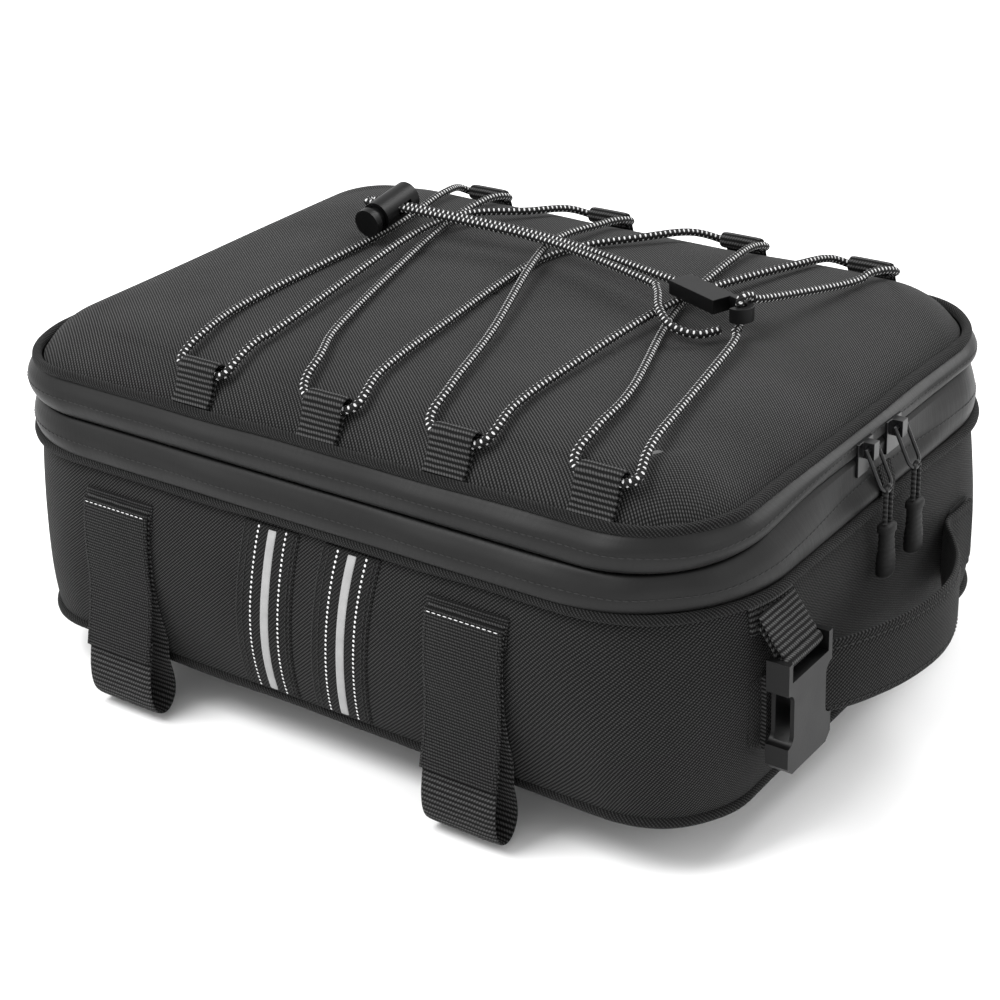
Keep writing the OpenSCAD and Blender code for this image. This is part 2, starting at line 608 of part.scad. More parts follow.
// Looped cord through the bail, with both legs going down into the grip
module pull_cord(y) color("#1c1c1c") translate([link_x, y, link_z]) {
    rotate([90, 0, 0]) rotate_extrude(angle = 180) translate([link_R, 0]) circle(r = link_r);
    for (s = [-1, 1]) translate([s * link_R, 0, -link_drop]) cylinder(r = link_r, h = link_drop);
}
module grip(y) color("#2a2a2a") translate([link_x, y, link_z - link_drop - grip_l]) linear_extrude(grip_l) {
    square([7.5, 5], center = true);
    for (s = [-1, 1]) translate([0, s * 2.5]) intersection() {
        circle(3.75);
        square([7.5, 3.75 * 2], center = true);
    }
}
front_pull_y = slider_y - slider_gap / 2;
rear_pull_y = slider_y + slider_gap / 2;
module zip_slider_front() slider(front_pull_y);
module zip_bail_front() bail(front_pull_y);
module zip_pull_cord_front() pull_cord(front_pull_y);
module zip_grip_front() grip(front_pull_y);
module zip_slider_rear() slider(rear_pull_y);
module zip_bail_rear() bail(rear_pull_y);
module zip_pull_cord_rear() pull_cord(rear_pull_y);
module zip_grip_rear() grip(rear_pull_y);

base_panel();
base_board();
case_wall();
wall_foam();
case_lining();
case_piping();
base_piping();
zip_band_lower();
zip_coil_lower();
zip_garage();
hinge_fabric();
reflective_tape_left();
reflective_tape_right();
reflective_stripe_left();
reflective_stripe_right();
strap_anchor_left();
strap_anchor_right();
buckle_anchor();
handle_patch_front();
handle_patch_rear();
handle_root_front();
handle_root_rear();
handle_strap();
lid_panel();
lid_foam();
lid_lining();
lid_piping();
zip_band_upper();
zip_coil_upper();
front_loops();
back_loops();
lacing_cord();
tension_cord();
cord_hook();
cord_lock_barrel();
cord_lock_spring();
cord_lock_button();
zip_slider_front();
zip_bail_front();
zip_pull_cord_front();
zip_grip_front();
zip_slider_rear();
zip_bail_rear();
zip_pull_cord_rear();
zip_grip_rear();
strap_loop_left();
strap_flap_left();
strap_loop_right();
strap_flap_right();
buckle_tab();
buckle_housing();
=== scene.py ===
"""Soft tail-rack bag: the seen surfaces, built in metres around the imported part.

Soft pieces are surfaces worked out on grids in millimetres, with a UV map in millimetres, so that a weave
keeps its real size. Moulded trim is the part's own mesh with its edges rounded.
"""
import math

import bpy
import numpy as np
from mathutils import Matrix, Vector


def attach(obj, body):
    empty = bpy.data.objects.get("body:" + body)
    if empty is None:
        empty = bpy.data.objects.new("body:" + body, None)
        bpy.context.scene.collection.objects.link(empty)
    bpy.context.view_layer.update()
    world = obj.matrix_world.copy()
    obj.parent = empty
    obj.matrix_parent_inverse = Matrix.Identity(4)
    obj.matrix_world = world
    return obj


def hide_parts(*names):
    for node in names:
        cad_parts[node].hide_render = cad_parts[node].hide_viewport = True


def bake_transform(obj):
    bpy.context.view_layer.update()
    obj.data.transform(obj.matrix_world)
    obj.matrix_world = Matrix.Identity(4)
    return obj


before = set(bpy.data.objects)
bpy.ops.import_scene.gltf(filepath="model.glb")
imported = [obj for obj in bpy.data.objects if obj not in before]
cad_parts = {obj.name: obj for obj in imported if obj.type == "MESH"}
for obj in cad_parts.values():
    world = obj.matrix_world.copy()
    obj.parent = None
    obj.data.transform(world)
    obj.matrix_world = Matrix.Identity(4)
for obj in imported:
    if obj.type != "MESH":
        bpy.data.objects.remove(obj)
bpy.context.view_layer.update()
MM = 0.001

# --- camera -----------------------------------------------------------------


def place_camera():
    """Camera on a tripod to the right of the front, looking down on the lid, rolled by under three degrees."""
    azimuth, elevation, roll = (math.radians(v) for v in (36.749, 26.5742, -2.7074))
    back = Vector((math.sin(azimuth) * math.cos(elevation), -math.cos(azimuth) * math.cos(elevation), math.sin(elevation)))
    right = Vector((math.cos(azimuth), math.sin(azimuth), 0))
    up = back.cross(right)
    side = right * math.cos(roll) + up * math.sin(roll)
    top = up * math.cos(roll) - right * math.sin(roll)
    lens = bpy.data.cameras.new("camera")
    lens.lens, lens.sensor_width, lens.clip_end = 78.62, 36, 50
    camera = bpy.data.objects.new("camera", lens)
    camera.matrix_world = Matrix((
        (side.x, top.x, back.x, 0.597354), (side.y, top.y, back.y, -0.803730), (side.z, top.z, back.z, 0.550758), (0, 0, 0, 1)))
    bpy.context.scene.collection.objects.link(camera)
    bpy.context.scene.camera = camera


place_camera()

# --- finishes ---------------------------------------------------------------


def tint(code):
    """sRGB hex value as linear colour."""
    c = [int(code[k:k + 2], 16) / 255 for k in (1, 3, 5)]
    return [v / 12.92 if v <= 0.04045 else ((v + 0.055) / 1.055) ** 2.4 for v in c] + [1]


def add(tree, kind, inputs=(), **properties):
    """Adds one node with its properties, and its inputs' values or links."""
    node = tree.nodes.new(kind)
    for name, value in properties.items():
        setattr(node, name, value)
    for key, value in dict(inputs).items():
        if isinstance(value, bpy.types.NodeSocket):
            tree.links.new(value, node.inputs[key])
        else:
            node.inputs[key].default_value = value
    return node


def start(name):
    material = bpy.data.materials.new(name)
    material.use_nodes = True
    material.node_tree.nodes.clear()
    return material, material.node_tree


def close(tree, colour, rough, height=None, depth=0.2, strength=1.0, **shader):
    """Shader and output, with an optional bump of the given depth in millimetres."""
    inputs = {"Base Color": colour, "Roughness": rough, **{k.replace("_", " "): v for k, v in shader.items()}}
    if height is not None:
        inputs["Normal"] = add(tree, "ShaderNodeBump", {"Height": height, "Distance": depth * MM, "Strength": strength}).outputs[0]
    surface = add(tree, "ShaderNodeBsdfPrincipled", inputs)
    add(tree, "ShaderNodeOutputMaterial", {0: surface.outputs[0]})


def bands(tree, vector, pitch, distortion=0.0, scale=1.0):
    """Sine ribs of that pitch in millimetres: a wave texture's period is 2 pi / 20 at a scale of one."""
    return add(tree, "ShaderNodeTexWave", {
        "Vector": vector, "Scale": math.pi / (10 * pitch), "Distortion": distortion, "Detail": 2.0, "Detail Scale": scale},
        wave_type="BANDS", bands_direction="X", wave_profile="SIN").outputs["Fac"]


def math_node(tree, operation, a, b=0.0, c=0.0):
    return add(tree, "ShaderNodeMath", {0: a, 1: b, 2: c}, operation=operation).outputs[0]


def woven(name, dark, light, rib=1.9, yarn=1.1, angle=35.0, cross=120.0, depth=0.35, rough=0.86, worn=0.25):
    """Woven polyester: sloping ribs a rib apart, cut into yarns, with uneven fibres and soft patches of wear; the
    colour follows the weave's height, painted shade between the yarns and a painted highlight on their crowns.
    """
    material, t = start(name)
    uv = add(t, "ShaderNodeUVMap", uv_map="weave").outputs[0]
    one = add(t, "ShaderNodeMapping", {"Vector": uv, "Rotation": (0, 0, math.radians(angle))}).outputs[0]
    two = add(t, "ShaderNodeMapping", {"Vector": uv, "Rotation": (0, 0, math.radians(cross))}).outputs[0]
    ribs = bands(t, one, rib, 0.7, 0.8)
    yarns = bands(t, two, yarn, 0.9, 1.2)
    fibre = add(t, "ShaderNodeTexNoise", {"Vector": uv, "Scale": 0.9, "Detail": 3.0, "Roughness": 0.7}).outputs["Fac"]
    patches = add(t, "ShaderNodeTexNoise", {"Vector": uv, "Scale": 0.018, "Detail": 2.0}).outputs["Fac"]
    cell = math_node(t, "MULTIPLY", ribs, math_node(t, "MULTIPLY_ADD", yarns, 0.6, 0.4))
    height = math_node(t, "MULTIPLY", cell, math_node(t, "MULTIPLY_ADD", fibre, 1.3, 0.35))
    # Colour from the weave's height is painted shade in the grooves and a painted highlight on the yarn crowns; the
    # patches add real wear.
    painted_yarn_light_and_wear = math_node(t, "MULTIPLY_ADD", patches, worn, math_node(t, "SUBTRACT", height, worn / 2))
    ramp = add(t, "ShaderNodeValToRGB", {"Fac": painted_yarn_light_and_wear})
    ramp.color_ramp.elements[0].position, ramp.color_ramp.elements[0].color = 0.18, tint(dark)
    ramp.color_ramp.elements[1].position, ramp.color_ramp.elements[1].color = 0.85, tint(light)
    close(t, ramp.outputs[0], rough, height, depth, Sheen_Weight=0.03, Sheen_Roughness=0.5, Specular_IOR_Level=0.12)
    return material


def coated_band(name, dark, light):
    """Film-coated zip cloth: smooth with a satin gleam, and fine upright creases where the film has bent."""
    material, t = start(name)
    uv = add(t, "ShaderNodeUVMap", uv_map="weave").outputs[0]
    stretch = add(t, "ShaderNodeMapping", {"Vector": uv, "Scale": (0.55, 0.06, 1)}).outputs[0]
    crease = add(t, "ShaderNodeTexNoise", {"Vector": stretch, "Scale": 1.0, "Detail": 4.0, "Roughness": 0.6}).outputs["Fac"]
    broad = add(t, "ShaderNodeTexNoise", {"Vector": uv, "Scale": 0.03, "Detail": 2.0}).outputs["Fac"]
    grain = add(t, "ShaderNodeTexNoise", {"Vector": uv, "Scale": 2.2, "Detail": 2.0}).outputs["Fac"]
    height = math_node(t, "MULTIPLY_ADD", grain, 0.35, crease)
    # The colour is lighter in broad random patches, and a little lighter along the creases: a painted glint on the
    # creases.
    share = math_node(t, "MULTIPLY_ADD", broad, 0.8, math_node(t, "MULTIPLY", crease, 0.2))
    colour = add(t, "ShaderNodeMix", {0: share, 6: tint(dark), 7: tint(light)}, data_type="RGBA").outputs[2]
    rough = math_node(t, "MULTIPLY_ADD", crease, 0.16, 0.40)
    close(t, colour, rough, height, 0.10, Specular_IOR_Level=0.26)
    return material


def elastic(name, dark, fleck):
    """Braided elastic: black cover with bright flecks in four staggered rows, 2.8 mm apart along the cord."""
    material, t = start(name)
    uv = add(t, "ShaderNodeUVMap", uv_map="weave").outputs[0]
    at = add(t, "ShaderNodeSeparateXYZ", {0: uv})
    along = math_node(t, "SINE", math_node(t, "MULTIPLY", at.outputs[0], 2 * math.pi / 2.8))
    around = math_node(t, "SINE", math_node(t, "MULTIPLY", at.outputs[1], 4 * math.pi))
    both = math_node(t, "MULTIPLY", along, around)
    dots = add(t, "ShaderNodeMapRange", {"Value": both, "From Min": 0.42, "From Max": 0.62}).outputs[0]
    braid = bands(t, add(t, "ShaderNodeMapping", {"Vector": uv, "Scale": (1, 9, 1), "Rotation": (0, 0, 0.7)}).outputs[0], 0.9, 0.3)
    # The braid's ridges are painted lighter: a painted highlight on the black braid.
    ground_with_painted_braid_highlight = add(t, "ShaderNodeMix", {0: braid, 6: tint(dark), 7: tint("#1e1e1e")}, data_type="RGBA").outputs[2]
    colour = add(t, "ShaderNodeMix", {0: dots, 6: ground_with_painted_braid_highlight, 7: tint(fleck)}, data_type="RGBA").outputs[2]
    close(t, colour, 0.7, math_node(t, "MULTIPLY_ADD", dots, 0.8, braid), 0.25, Specular_IOR_Level=0.2)
    return material


def moulded(name, dark, light, rough, grain=1.4, depth=0.03, **shader):
    """Injection-moulded or coated part: fine mould grain, slightly brighter where it is rubbed."""
    material, t = start(name)
    at = add(t, "ShaderNodeTexCoord").outputs["Object"]
    fine = add(t, "ShaderNodeTexNoise", {"Vector": at, "Scale": grain / MM, "Detail": 2.0}).outputs["Fac"]
    rubbed = add(t, "ShaderNodeTexNoise", {"Vector": at, "Scale": 60.0, "Detail": 4.0}).outputs["Fac"]
    colour = add(t, "ShaderNodeMix", {0: rubbed, 6: tint(dark), 7: tint(light)}, data_type="RGBA").outputs[2]
    gloss = math_node(t, "MULTIPLY_ADD", rubbed, 0.14, rough - 0.07)
    close(t, colour, gloss, fine, depth, **shader)
    return material


def reflective(name):
    """Glass-bead tape: pale grey, with a fine sparkle of beads."""
    material, t = start(name)
    uv = add(t, "ShaderNodeUVMap", uv_map="weave").outputs[0]
    beads = add(t, "ShaderNodeTexVoronoi", {"Vector": uv, "Scale": 2.5}).outputs["Distance"]
    dust = add(t, "ShaderNodeTexNoise", {"Vector": uv, "Scale": 0.12, "Detail": 3.0}).outputs["Fac"]
    colour = add(t, "ShaderNodeMix", {0: dust, 6: tint("#848484"), 7: tint("#a2a2a2")}, data_type="RGBA").outputs[2]
    close(t, colour, 0.45, beads, 0.05)
    return material


# The second colour of each woven finish is the painted highlight on its yarn crowns; the first is the cloth's own
# near-black, also used for the painted shade between the yarns.
oxford = woven("polyester_oxford_wall", "#060606", "#3a3a3a", rib=1.35, yarn=1.15, angle=47, cross=118)
denier = woven("polyester_denier_end", "#060606", "#353535", rib=1.4, yarn=1.4, angle=45, cross=135, worn=0.3)
twill = woven("polyester_twill_lid", "#0b0b0b", "#474747", rib=1.25, yarn=1.1, angle=-52, cross=48, depth=0.25, worn=0.3)
bias = woven("bias_cut_piping", "#060606", "#303030", rib=1.3, yarn=0.9, angle=42, cross=-50)
webbing = woven("nylon_webbing", "#080808", "#4c4c4c", rib=2.5, yarn=1.3, angle=0, cross=62, depth=0.5)
fine_webbing = woven("nylon_fine_webbing", "#070707", "#383838", rib=1.5, yarn=1.4, angle=0, cross=78, depth=0.35)
tape_cloth = woven("ribbed_tape", "#070707", "#303030", rib=1.5, yarn=1.1, angle=50, cross=-40)
satin = coated_band("coated_zip_cloth", "#090909", "#131313")
lining_cloth = woven("polyester_lining", "#2f2f31", "#606063", rib=0.9, yarn=0.9, angle=0, cross=90, depth=0.1, rough=0.7)
foam = moulded("closed_cell_foam", "#4f4f4f", "#6a6a6a", 0.95, grain=0.5, depth=0.3)
board = moulded("polypropylene_board", "#7d7d79", "#8f8f8a", 0.6)
cord_cover = elastic("braided_elastic", "#080808", "#d2d2d2")
acetal = moulded("moulded_acetal", "#050505", "#0b0b0c", 0.40, Specular_IOR_Level=0.18)
rubber = moulded("moulded_rubber_grip", "#0c0c0c", "#151515", 0.62, depth=0.06, Specular_IOR_Level=0.2)
enamel = moulded("black_enamelled_steel", "#070708", "#0f0f10", 0.3, depth=0.01, Coat_Weight=0.2, Coat_Roughness=0.15, Specular_IOR_Level=0.3)
coil_nylon = woven("nylon_zip_coil", "#0a0a0a", "#2c2c2c", rib=2.4, yarn=2.4, angle=0, cross=0, depth=0.5, rough=0.5)
steel = moulded("drawn_spring_steel", "#8b8b8b", "#a8a8a8", 0.3, Metallic=1.0)
bright = reflective("glass_bead_stripe")
white_thread = moulded("bright_thread", "#c2c2c2", "#ededed", 0.7, grain=2.5, depth=0.1)
dark_thread = moulded("dark_thread", "#070707", "#1c1c1c", 0.75, grain=2.5, depth=0.1)

# --- making pieces ----------------------------------------------------------


def lengths(points):
    """Running length along the last-but-one axis of a list of points."""
    step = np.linalg.norm(np.diff(points, axis=0), axis=-1)
    return np.concatenate([[0], np.cumsum(step)])


def unit(v):
    return v / np.maximum(np.linalg.norm(v, axis=-1, keepdims=True), 1e-9)


def surface(name, points, uv, finish, body=None, around=False, ring=False, caps=False, thick=0.0, smooth=0, round_edge=0.0):
    """Mesh of a grid of points[row, column] in millimetres. around joins the last column to the first,
    ring the last row to the first, and caps fills the first and last rows."""
    rows, cols = points.shape[:2]
    i = np.arange(rows if ring else rows - 1)[:, None]
    j = np.arange(cols if around else cols - 1)[None, :]
    k, m = (i + 1) % rows, (j + 1) % cols
    faces = np.stack(np.broadcast_arrays(i * cols + j, i * cols + m, k * cols + m, k * cols + j), -1).reshape(-1, 4)
    map_uv = np.stack([uv[i, j], uv[i, j + 1], uv[i + 1, j + 1], uv[i + 1, j]], 2).reshape(-1, 2)
    faces = faces.tolist()
    if caps:
        for row, flip in ((0, True), (rows - 1, False)):
            loop = (row * cols + np.arange(cols)).tolist()
            faces.append(loop[::-1] if flip else loop)
            map_uv = np.vstack([map_uv, uv[row, :cols][::-1] if flip else uv[row, :cols]])
    flat = points.reshape(-1, 3) * MM
    if around and (caps or ring):
        quads = np.array(faces[:(rows if ring else rows - 1) * cols])
        a, b, c, d = (flat[quads[:, q]] for q in range(4))
        if np.einsum("ij,ij->i", a, np.cross(b, c)).sum() + np.einsum("ij,ij->i", a, np.cross(c, d)).sum() < 0:
            faces = [f[::-1] for f in faces]
            sizes = np.array([len(f) for f in faces])
            ends = np.cumsum(sizes)
            order = np.concatenate([np.arange(e - 1, e - s - 1, -1) for e, s in zip(ends, sizes)])
            map_uv = map_uv[order]
    mesh = bpy.data.meshes.new(name)
    mesh.from_pydata(flat.tolist(), [], faces)
    layer = mesh.uv_layers.new(name="weave")
    layer.data.foreach_set("uv", map_uv.astype(np.float32).ravel())
    return dress(bpy.data.objects.new(name, mesh), finish, body, thick, smooth, round_edge)


def dress(piece, finish, body=None, thick=0.0, smooth=0, round_edge=0.0, sharp=50):
    """Links a piece, gives it its finish and its wall thickness, and sets it on its body."""
    bpy.context.scene.collection.objects.link(piece)
    mesh = piece.data
    mesh.polygons.foreach_set("use_smooth", np.ones(len(mesh.polygons), bool))
    mesh.set_sharp_from_angle(angle=math.radians(sharp))
    mesh.materials.clear()
    mesh.materials.append(finish)
    if thick:
        wall = piece.modifiers.new("cloth", "SOLIDIFY")
        wall.thickness, wall.offset = thick * MM, -1
    if round_edge:
        edge = piece.modifiers.new("edge", "BEVEL")
        edge.width, edge.segments, edge.limit_method, edge.angle_limit = round_edge * MM, 3, "ANGLE", math.radians(35)
        edge.harden_normals = False
    if smooth:
        finer = piece.modifiers.new("finer", "SUBSURF")
        finer.levels = finer.render_levels = smooth
    if body:
        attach(piece, body)
    return piece


def resample(points, step):
    """Smooth open curve through points (Catmull-Rom), cut to even steps in millimetres."""
    p = np.asarray(points, float)
    p = np.vstack([2 * p[0] - p[1], p, 2 * p[-1] - p[-2]])
    t = np.linspace(0, 1, 24, endpoint=False)[None, :, None]
    a, b, c, d = p[:-3, None], p[1:-2, None], p[2:-1, None], p[3:, None]
    curve = 0.5 * (2 * b + (c - a) * t + (2 * a - 5 * b + 4 * c - d) * t ** 2 + (3 * b - a - 3 * c + d) * t ** 3)
    curve = curve.reshape(-1, p.shape[1])
    curve = np.vstack([curve, p[-2]])
    s = lengths(curve)
    even = np.linspace(0, s[-1], max(int(round(s[-1] / step)), 2) + 1)
    return np.stack([np.interp(even, s, curve[:, k]) for k in range(curve.shape[1])], 1)


def sweep(name, path, side, profile, finish, body=None, closed=False, around=None, **more):
    """Profile of (across, out) carried along a path. side is the across direction at each point, and out is
    square to it and to the path. around gives the UV's second value at each profile point."""
    path = np.asarray(path, float)
    side = np.broadcast_to(np.asarray(side, float), path.shape)
    if closed:
        tangent = unit(np.roll(path, -1, 0) - np.roll(path, 1, 0))
    else:
        tangent = unit(np.gradient(path, axis=0))
    side = unit(side - tangent * np.sum(side * tangent, -1, keepdims=True))
    out = np.cross(tangent, side)
    profile = np.asarray(profile, float)
    if profile.ndim == 2:
        profile = np.broadcast_to(profile, (len(path),) + profile.shape)
    points = path[:, None] + side[:, None] * profile[..., :1] + out[:, None] * profile[..., 1:]
    run = lengths(np.vstack([path, path[:1]]) if closed else path)
    if around is None:
        across = np.concatenate([profile[0, :, 0], profile[0, :1, 0]])
    else:
        across = around
    uv = np.stack(np.broadcast_arrays(run[:, None], across[None, :]), -1)
    return surface(name, points, uv, finish, body, around=True, ring=closed, caps=not closed, **more)


def strap_profile(width, thick, count=28, power=0.35):
    """Flat webbing in section: a superellipse, rounded over at both edges."""
    w = np.linspace(0, 2 * np.pi, count, endpoint=False)
    flat = lambda v: np.sign(v) * np.abs(v) ** power
    x = flat(np.cos(w)) * width / 2
    return np.stack([x, flat(np.sin(w)) * thick / 2 * (1 - 0.35 * (np.abs(x) / (width / 2)) ** 12)], 1)


def tube(name, path, radius, finish, body=None, sides=12, ref=(0.02, 0.03, 1), **more):
    """Round cord along a path: a circle carried square to it, with its UV's second value from 0 to 1 around."""
    path = np.asarray(path, float)
    tangent = unit(np.gradient(path, axis=0))
    side = unit(np.cross(tangent, np.broadcast_to(np.asarray(ref, float), path.shape)))
    w = np.linspace(0, 2 * np.pi, sides, endpoint=False)
    ring = np.stack([np.cos(w), np.sin(w)], 1)
    profile = ring * radius if np.isscalar(radius) else ring[None] * np.asarray(radius)[:, None, None]
    return sweep(name, path, side, profile, finish, body, around=np.linspace(0, 1, sides + 1), **more)


def stitches(name, path, normal, finish, body, long=2.4, pitch=3.4, wide=0.75, high=0.5, lift=0.15):
    """Row of thread stitches: one small ellipsoid every pitch along the path, lying flat on the cloth."""
    path = np.asarray(path, float)
    run = lengths(path)
    at = np.arange(pitch / 2, run[-1], pitch)
    centre = np.stack([np.interp(at, run, path[:, k]) for k in range(3)], 1)
    tangent = unit(np.stack([np.interp(at, run, np.gradient(path[:, k], run)) for k in range(3)], 1))
    normal = np.broadcast_to(np.asarray(normal, float), path.shape)
    out = unit(np.stack([np.interp(at, run, normal[:, k]) for k in range(3)], 1))
    side = np.cross(out, tangent)
    u, v = np.meshgrid(np.linspace(0, np.pi, 5)[1:-1], np.linspace(0, 2 * np.pi, 6, endpoint=False), indexing="ij")
    ball = np.vstack([[1, 0, 0], np.stack([np.cos(u), np.sin(u) * np.cos(v), np.sin(u) * np.sin(v)], -1).reshape(-1, 3), [-1, 0, 0]])
    j = np.arange(6)
    n = (j + 1) % 6
    fan = [[0, 1 + a, 1 + b] for a, b in zip(j, n)] + [[19, 13 + b, 13 + a] for a, b in zip(j, n)]
    quads = [[1 + r * 6 + a, 7 + r * 6 + a, 7 + r * 6 + b, 1 + r * 6 + b] for r in (0, 1) for a, b in zip(j, n)]
    pts = (centre + out * lift)[:, None] + ball[None, :, :1] * tangent[:, None] * long / 2 \
        + ball[None, :, 1:2] * side[:, None] * wide / 2 + ball[None, :, 2:] * out[:, None] * high / 2
    faces = [[int(q) + 20 * k for q in f] for k in range(len(at)) for f in fan + quads]
    mesh = bpy.data.meshes.new(name)
    mesh.from_pydata((pts.reshape(-1, 3) * MM).tolist(), [], faces)
    return dress(bpy.data.objects.new(name, mesh), finish, body, sharp=180)


def rounded_part(name, node, finish, body, edge=0.5, slot=None):
    """The part's own mesh, welded and with its edges rounded as a mould leaves them."""
    import bmesh
    grid = bmesh.new()
    grid.from_mesh(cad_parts[node].data)
    bmesh.ops.remove_doubles(grid, verts=grid.verts, dist=2e-6)
    bmesh.ops.dissolve_limit(grid, angle_limit=math.radians(3), verts=grid.verts, edges=grid.edges)
    mesh = bpy.data.meshes.new(name)
    grid.to_mesh(mesh)
    grid.free()
    piece = dress(bpy.data.objects.new(name, mesh), finish, body, round_edge=edge, sharp=40)
    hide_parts(node)
    return done(piece, slot)


def done(piece, slot=None, *nodes):
    """Hides the nodes that a piece stands for and returns the piece; slot is not used."""
    if nodes:
        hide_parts(*nodes)
    return piece


# --- outlines of the case ---------------------------------------------------


def rim(a, b, r, n=(14, 20, 22)):
    """Rounded rectangle in plan, anticlockwise from the middle of its rear side. Each quarter is a straight
    run, an arc of radius r and a straight run; a, b and r may hold a value for each row."""
    a, b, r = (np.atleast_1d(np.asarray(q, float))[:, None] for q in (a, b, r))
    t, w, s = np.linspace(0, 1, n[0], endpoint=False), np.linspace(0, np.pi / 2, n[1], endpoint=False), np.linspace(0, 1, n[2] + 1)
    x = np.hstack([a + 0 * t, a - r + r * np.cos(w), (a - r) * (1 - s)])
    y = np.hstack([(b - r) * t, b - r + r * np.sin(w), b + 0 * s])
    x, y = (np.broadcast_to(q, (max(len(x), len(y)), q.shape[1])) for q in (x, y))
    return (np.hstack([-x[:, ::-1], -x[:, 1:], x[:, ::-1][:, 1:], x[:, 1:-1]]),
            np.hstack([y[:, ::-1], -y[:, 1:], -y[:, ::-1][:, 1:], y[:, 1:-1]]))


def outward(x, y):
    """Outward direction in plan at each point of a ring."""
    tx, ty = np.roll(x, -1, 1) - np.roll(x, 1, 1), np.roll(y, -1, 1) - np.roll(y, 1, 1)
    size = np.hypot(tx, ty)
    return ty / size, -tx / size


def ease(v, low, high):
    """Smooth step from 0 at low to 1 at high."""
    t = np.clip((v - low) / (high - low), 0, 1)
    return t * t * (3 - 2 * t)


def ring_uv(x, y, z):
    """Length round the middle row, and length up the rows."""
    mid = len(x) // 2
    ring = np.stack([x[mid], y[mid]], 1)
    u = lengths(np.vstack([ring, ring[:1]]))
    column = np.stack([x[:, 0], y[:, 0], np.broadcast_to(z, x.shape)[:, 0]], 1)
    return np.stack(np.broadcast_arrays(u[None, :], lengths(column)[:, None]), -1)


WALL_LOW, WALL_HIGH = 3.6, 100.6


def wall_shape(t):
    """Half length, half depth and corner radius of the wall at height t from 0 to 1."""
    return 203.6 + 4.6 * t, 150.0 + 2.6 * t, 45 + 22 * ease(t, -0.2, 1.0)


def wall_push(x, y, nx, ny, t):
    """How far the padded wall bellies out: most at mid height, in the middle of each side."""
    rise = np.sin(np.pi * np.clip(t, 0, 1)) ** 0.8
    long = 1 - np.clip(np.abs(x) / 215, 0, 1) ** 4
    short = 1 - np.clip(np.abs(y) / 165, 0, 1) ** 4
    belly = 7.4 * np.clip(-ny, 0, 1) ** 2 * long + 5.5 * np.clip(ny, 0, 1) ** 2 * long + 4.0 * nx ** 2 * short
    wave = 0.55 * np.sin(x / 31 + 2.1 * t) * np.sin(3.1 * t + y / 47) + 0.3 * np.sin((x - y) / 17 + 4 * t)
    return rise * (belly + 1.5 + wave)


def wall_rows(z, inset=0.0):
    """Points of the case wall, inset by a thickness."""
    t = (z - WALL_LOW) / (WALL_HIGH - WALL_LOW)
    a, b, r = wall_shape(t)
    x, y = rim(a, b, r)
    nx, ny = outward(x, y)
    push = wall_push(x, y, nx, ny, t[:, None]) - inset
    return x + nx * push, y + ny * push, np.broadcast_to(z[:, None], x.shape)


def front_wall(x, z):
    """Depth of the front wall's face at a place along the bag and a height."""
    t = (z - WALL_LOW) / (WALL_HIGH - WALL_LOW)
    return -(wall_shape(t)[1] + wall_push(x, -150.0 + 0 * x, 0 * x, -1 + 0 * x, t))


def end_wall(y, z):
    """Place of the right end wall's face at a depth and a height."""
    t = (z - WALL_LOW) / (WALL_HIGH - WALL_LOW)
    a, b, r = wall_shape(t)
    q = np.clip(np.abs(y) - (b - r), 0, r * 0.95) / r
    nx = np.sqrt(1 - q ** 2)
    return a - r + r * nx + nx * wall_push(a + 0 * y, y, nx, np.sign(y) * q, t)


def stack(x, y, z):
    return np.stack(np.broadcast_arrays(x, y, z), -1)


# --- case wall, base and lining --------------------------------------------

z = np.linspace(WALL_LOW, WALL_HIGH, 34)
x, y, zz = wall_rows(z)
wall = surface("case_wall_fabric", stack(x, y, zz), ring_uv(x, y, zz), oxford, "case", around=True, thick=1.5, smooth=1)
done(wall, "woven_fabric", "case_wall")

z = np.linspace(WALL_LOW + 2, WALL_HIGH - 1, 16)
outer, inner = wall_rows(z, 1.7), wall_rows(z, 6.4)
loop = [np.vstack([o, i[::-1]]) for o, i in zip(outer, inner)]
padding = surface("wall_foam_sheet", stack(*loop), ring_uv(*loop)[list(range(32)) + [31]], foam, "case", around=True, ring=True)
done(padding, "foam", "wall_foam")


def disc(a, b, r, shares):
    """Rings of a rounded rectangle drawn in to a point, from its edge to its middle."""
    x, y = rim([a], [b], [r])
    s = np.asarray(shares)[:, None]
    return x * s, y * s


z = np.concatenate([np.linspace(115.5, 9, 20), [6.5, 5.4]])
t = np.clip((z - WALL_LOW) / (WALL_HIGH - WALL_LOW), 0, 1.05)
a, b, r = wall_shape(np.minimum(t, 1))
inset = np.where(z > WALL_HIGH, 7.9 + (z - WALL_HIGH) * 0.12, 7.9)
inset[-2:] = [8.4, 10.4]
x, y = rim(a, b, r)
nx, ny = outward(x, y)
push = wall_push(x, y, nx, ny, np.minimum(t, 1)[:, None]) - inset[:, None] + 0.4 * np.sin(x / 14 + z[:, None] / 23) * ease(z, 5, 30)[:, None]
x, y, zz = x + nx * push, y + ny * push, np.broadcast_to(z[:, None], x.shape)
shares = np.linspace(0.97, 0.0, 12)[:, None]
shares[-1] = 0.004
fx, fy = x[-1:] * shares, y[-1:] * shares
fz = 5.1 + 0.25 * np.sin(fx / 19) * np.sin(fy / 23)
x, y, zz = np.vstack([x, fx]), np.vstack([y, fy]), np.vstack([zz, fz])
lining = surface("case_lining_cloth", stack(x, y, zz)[:, ::-1], ring_uv(x, y, zz), lining_cloth, "case", around=True, thick=-0.8)
done(lining, "lining", "case_lining")

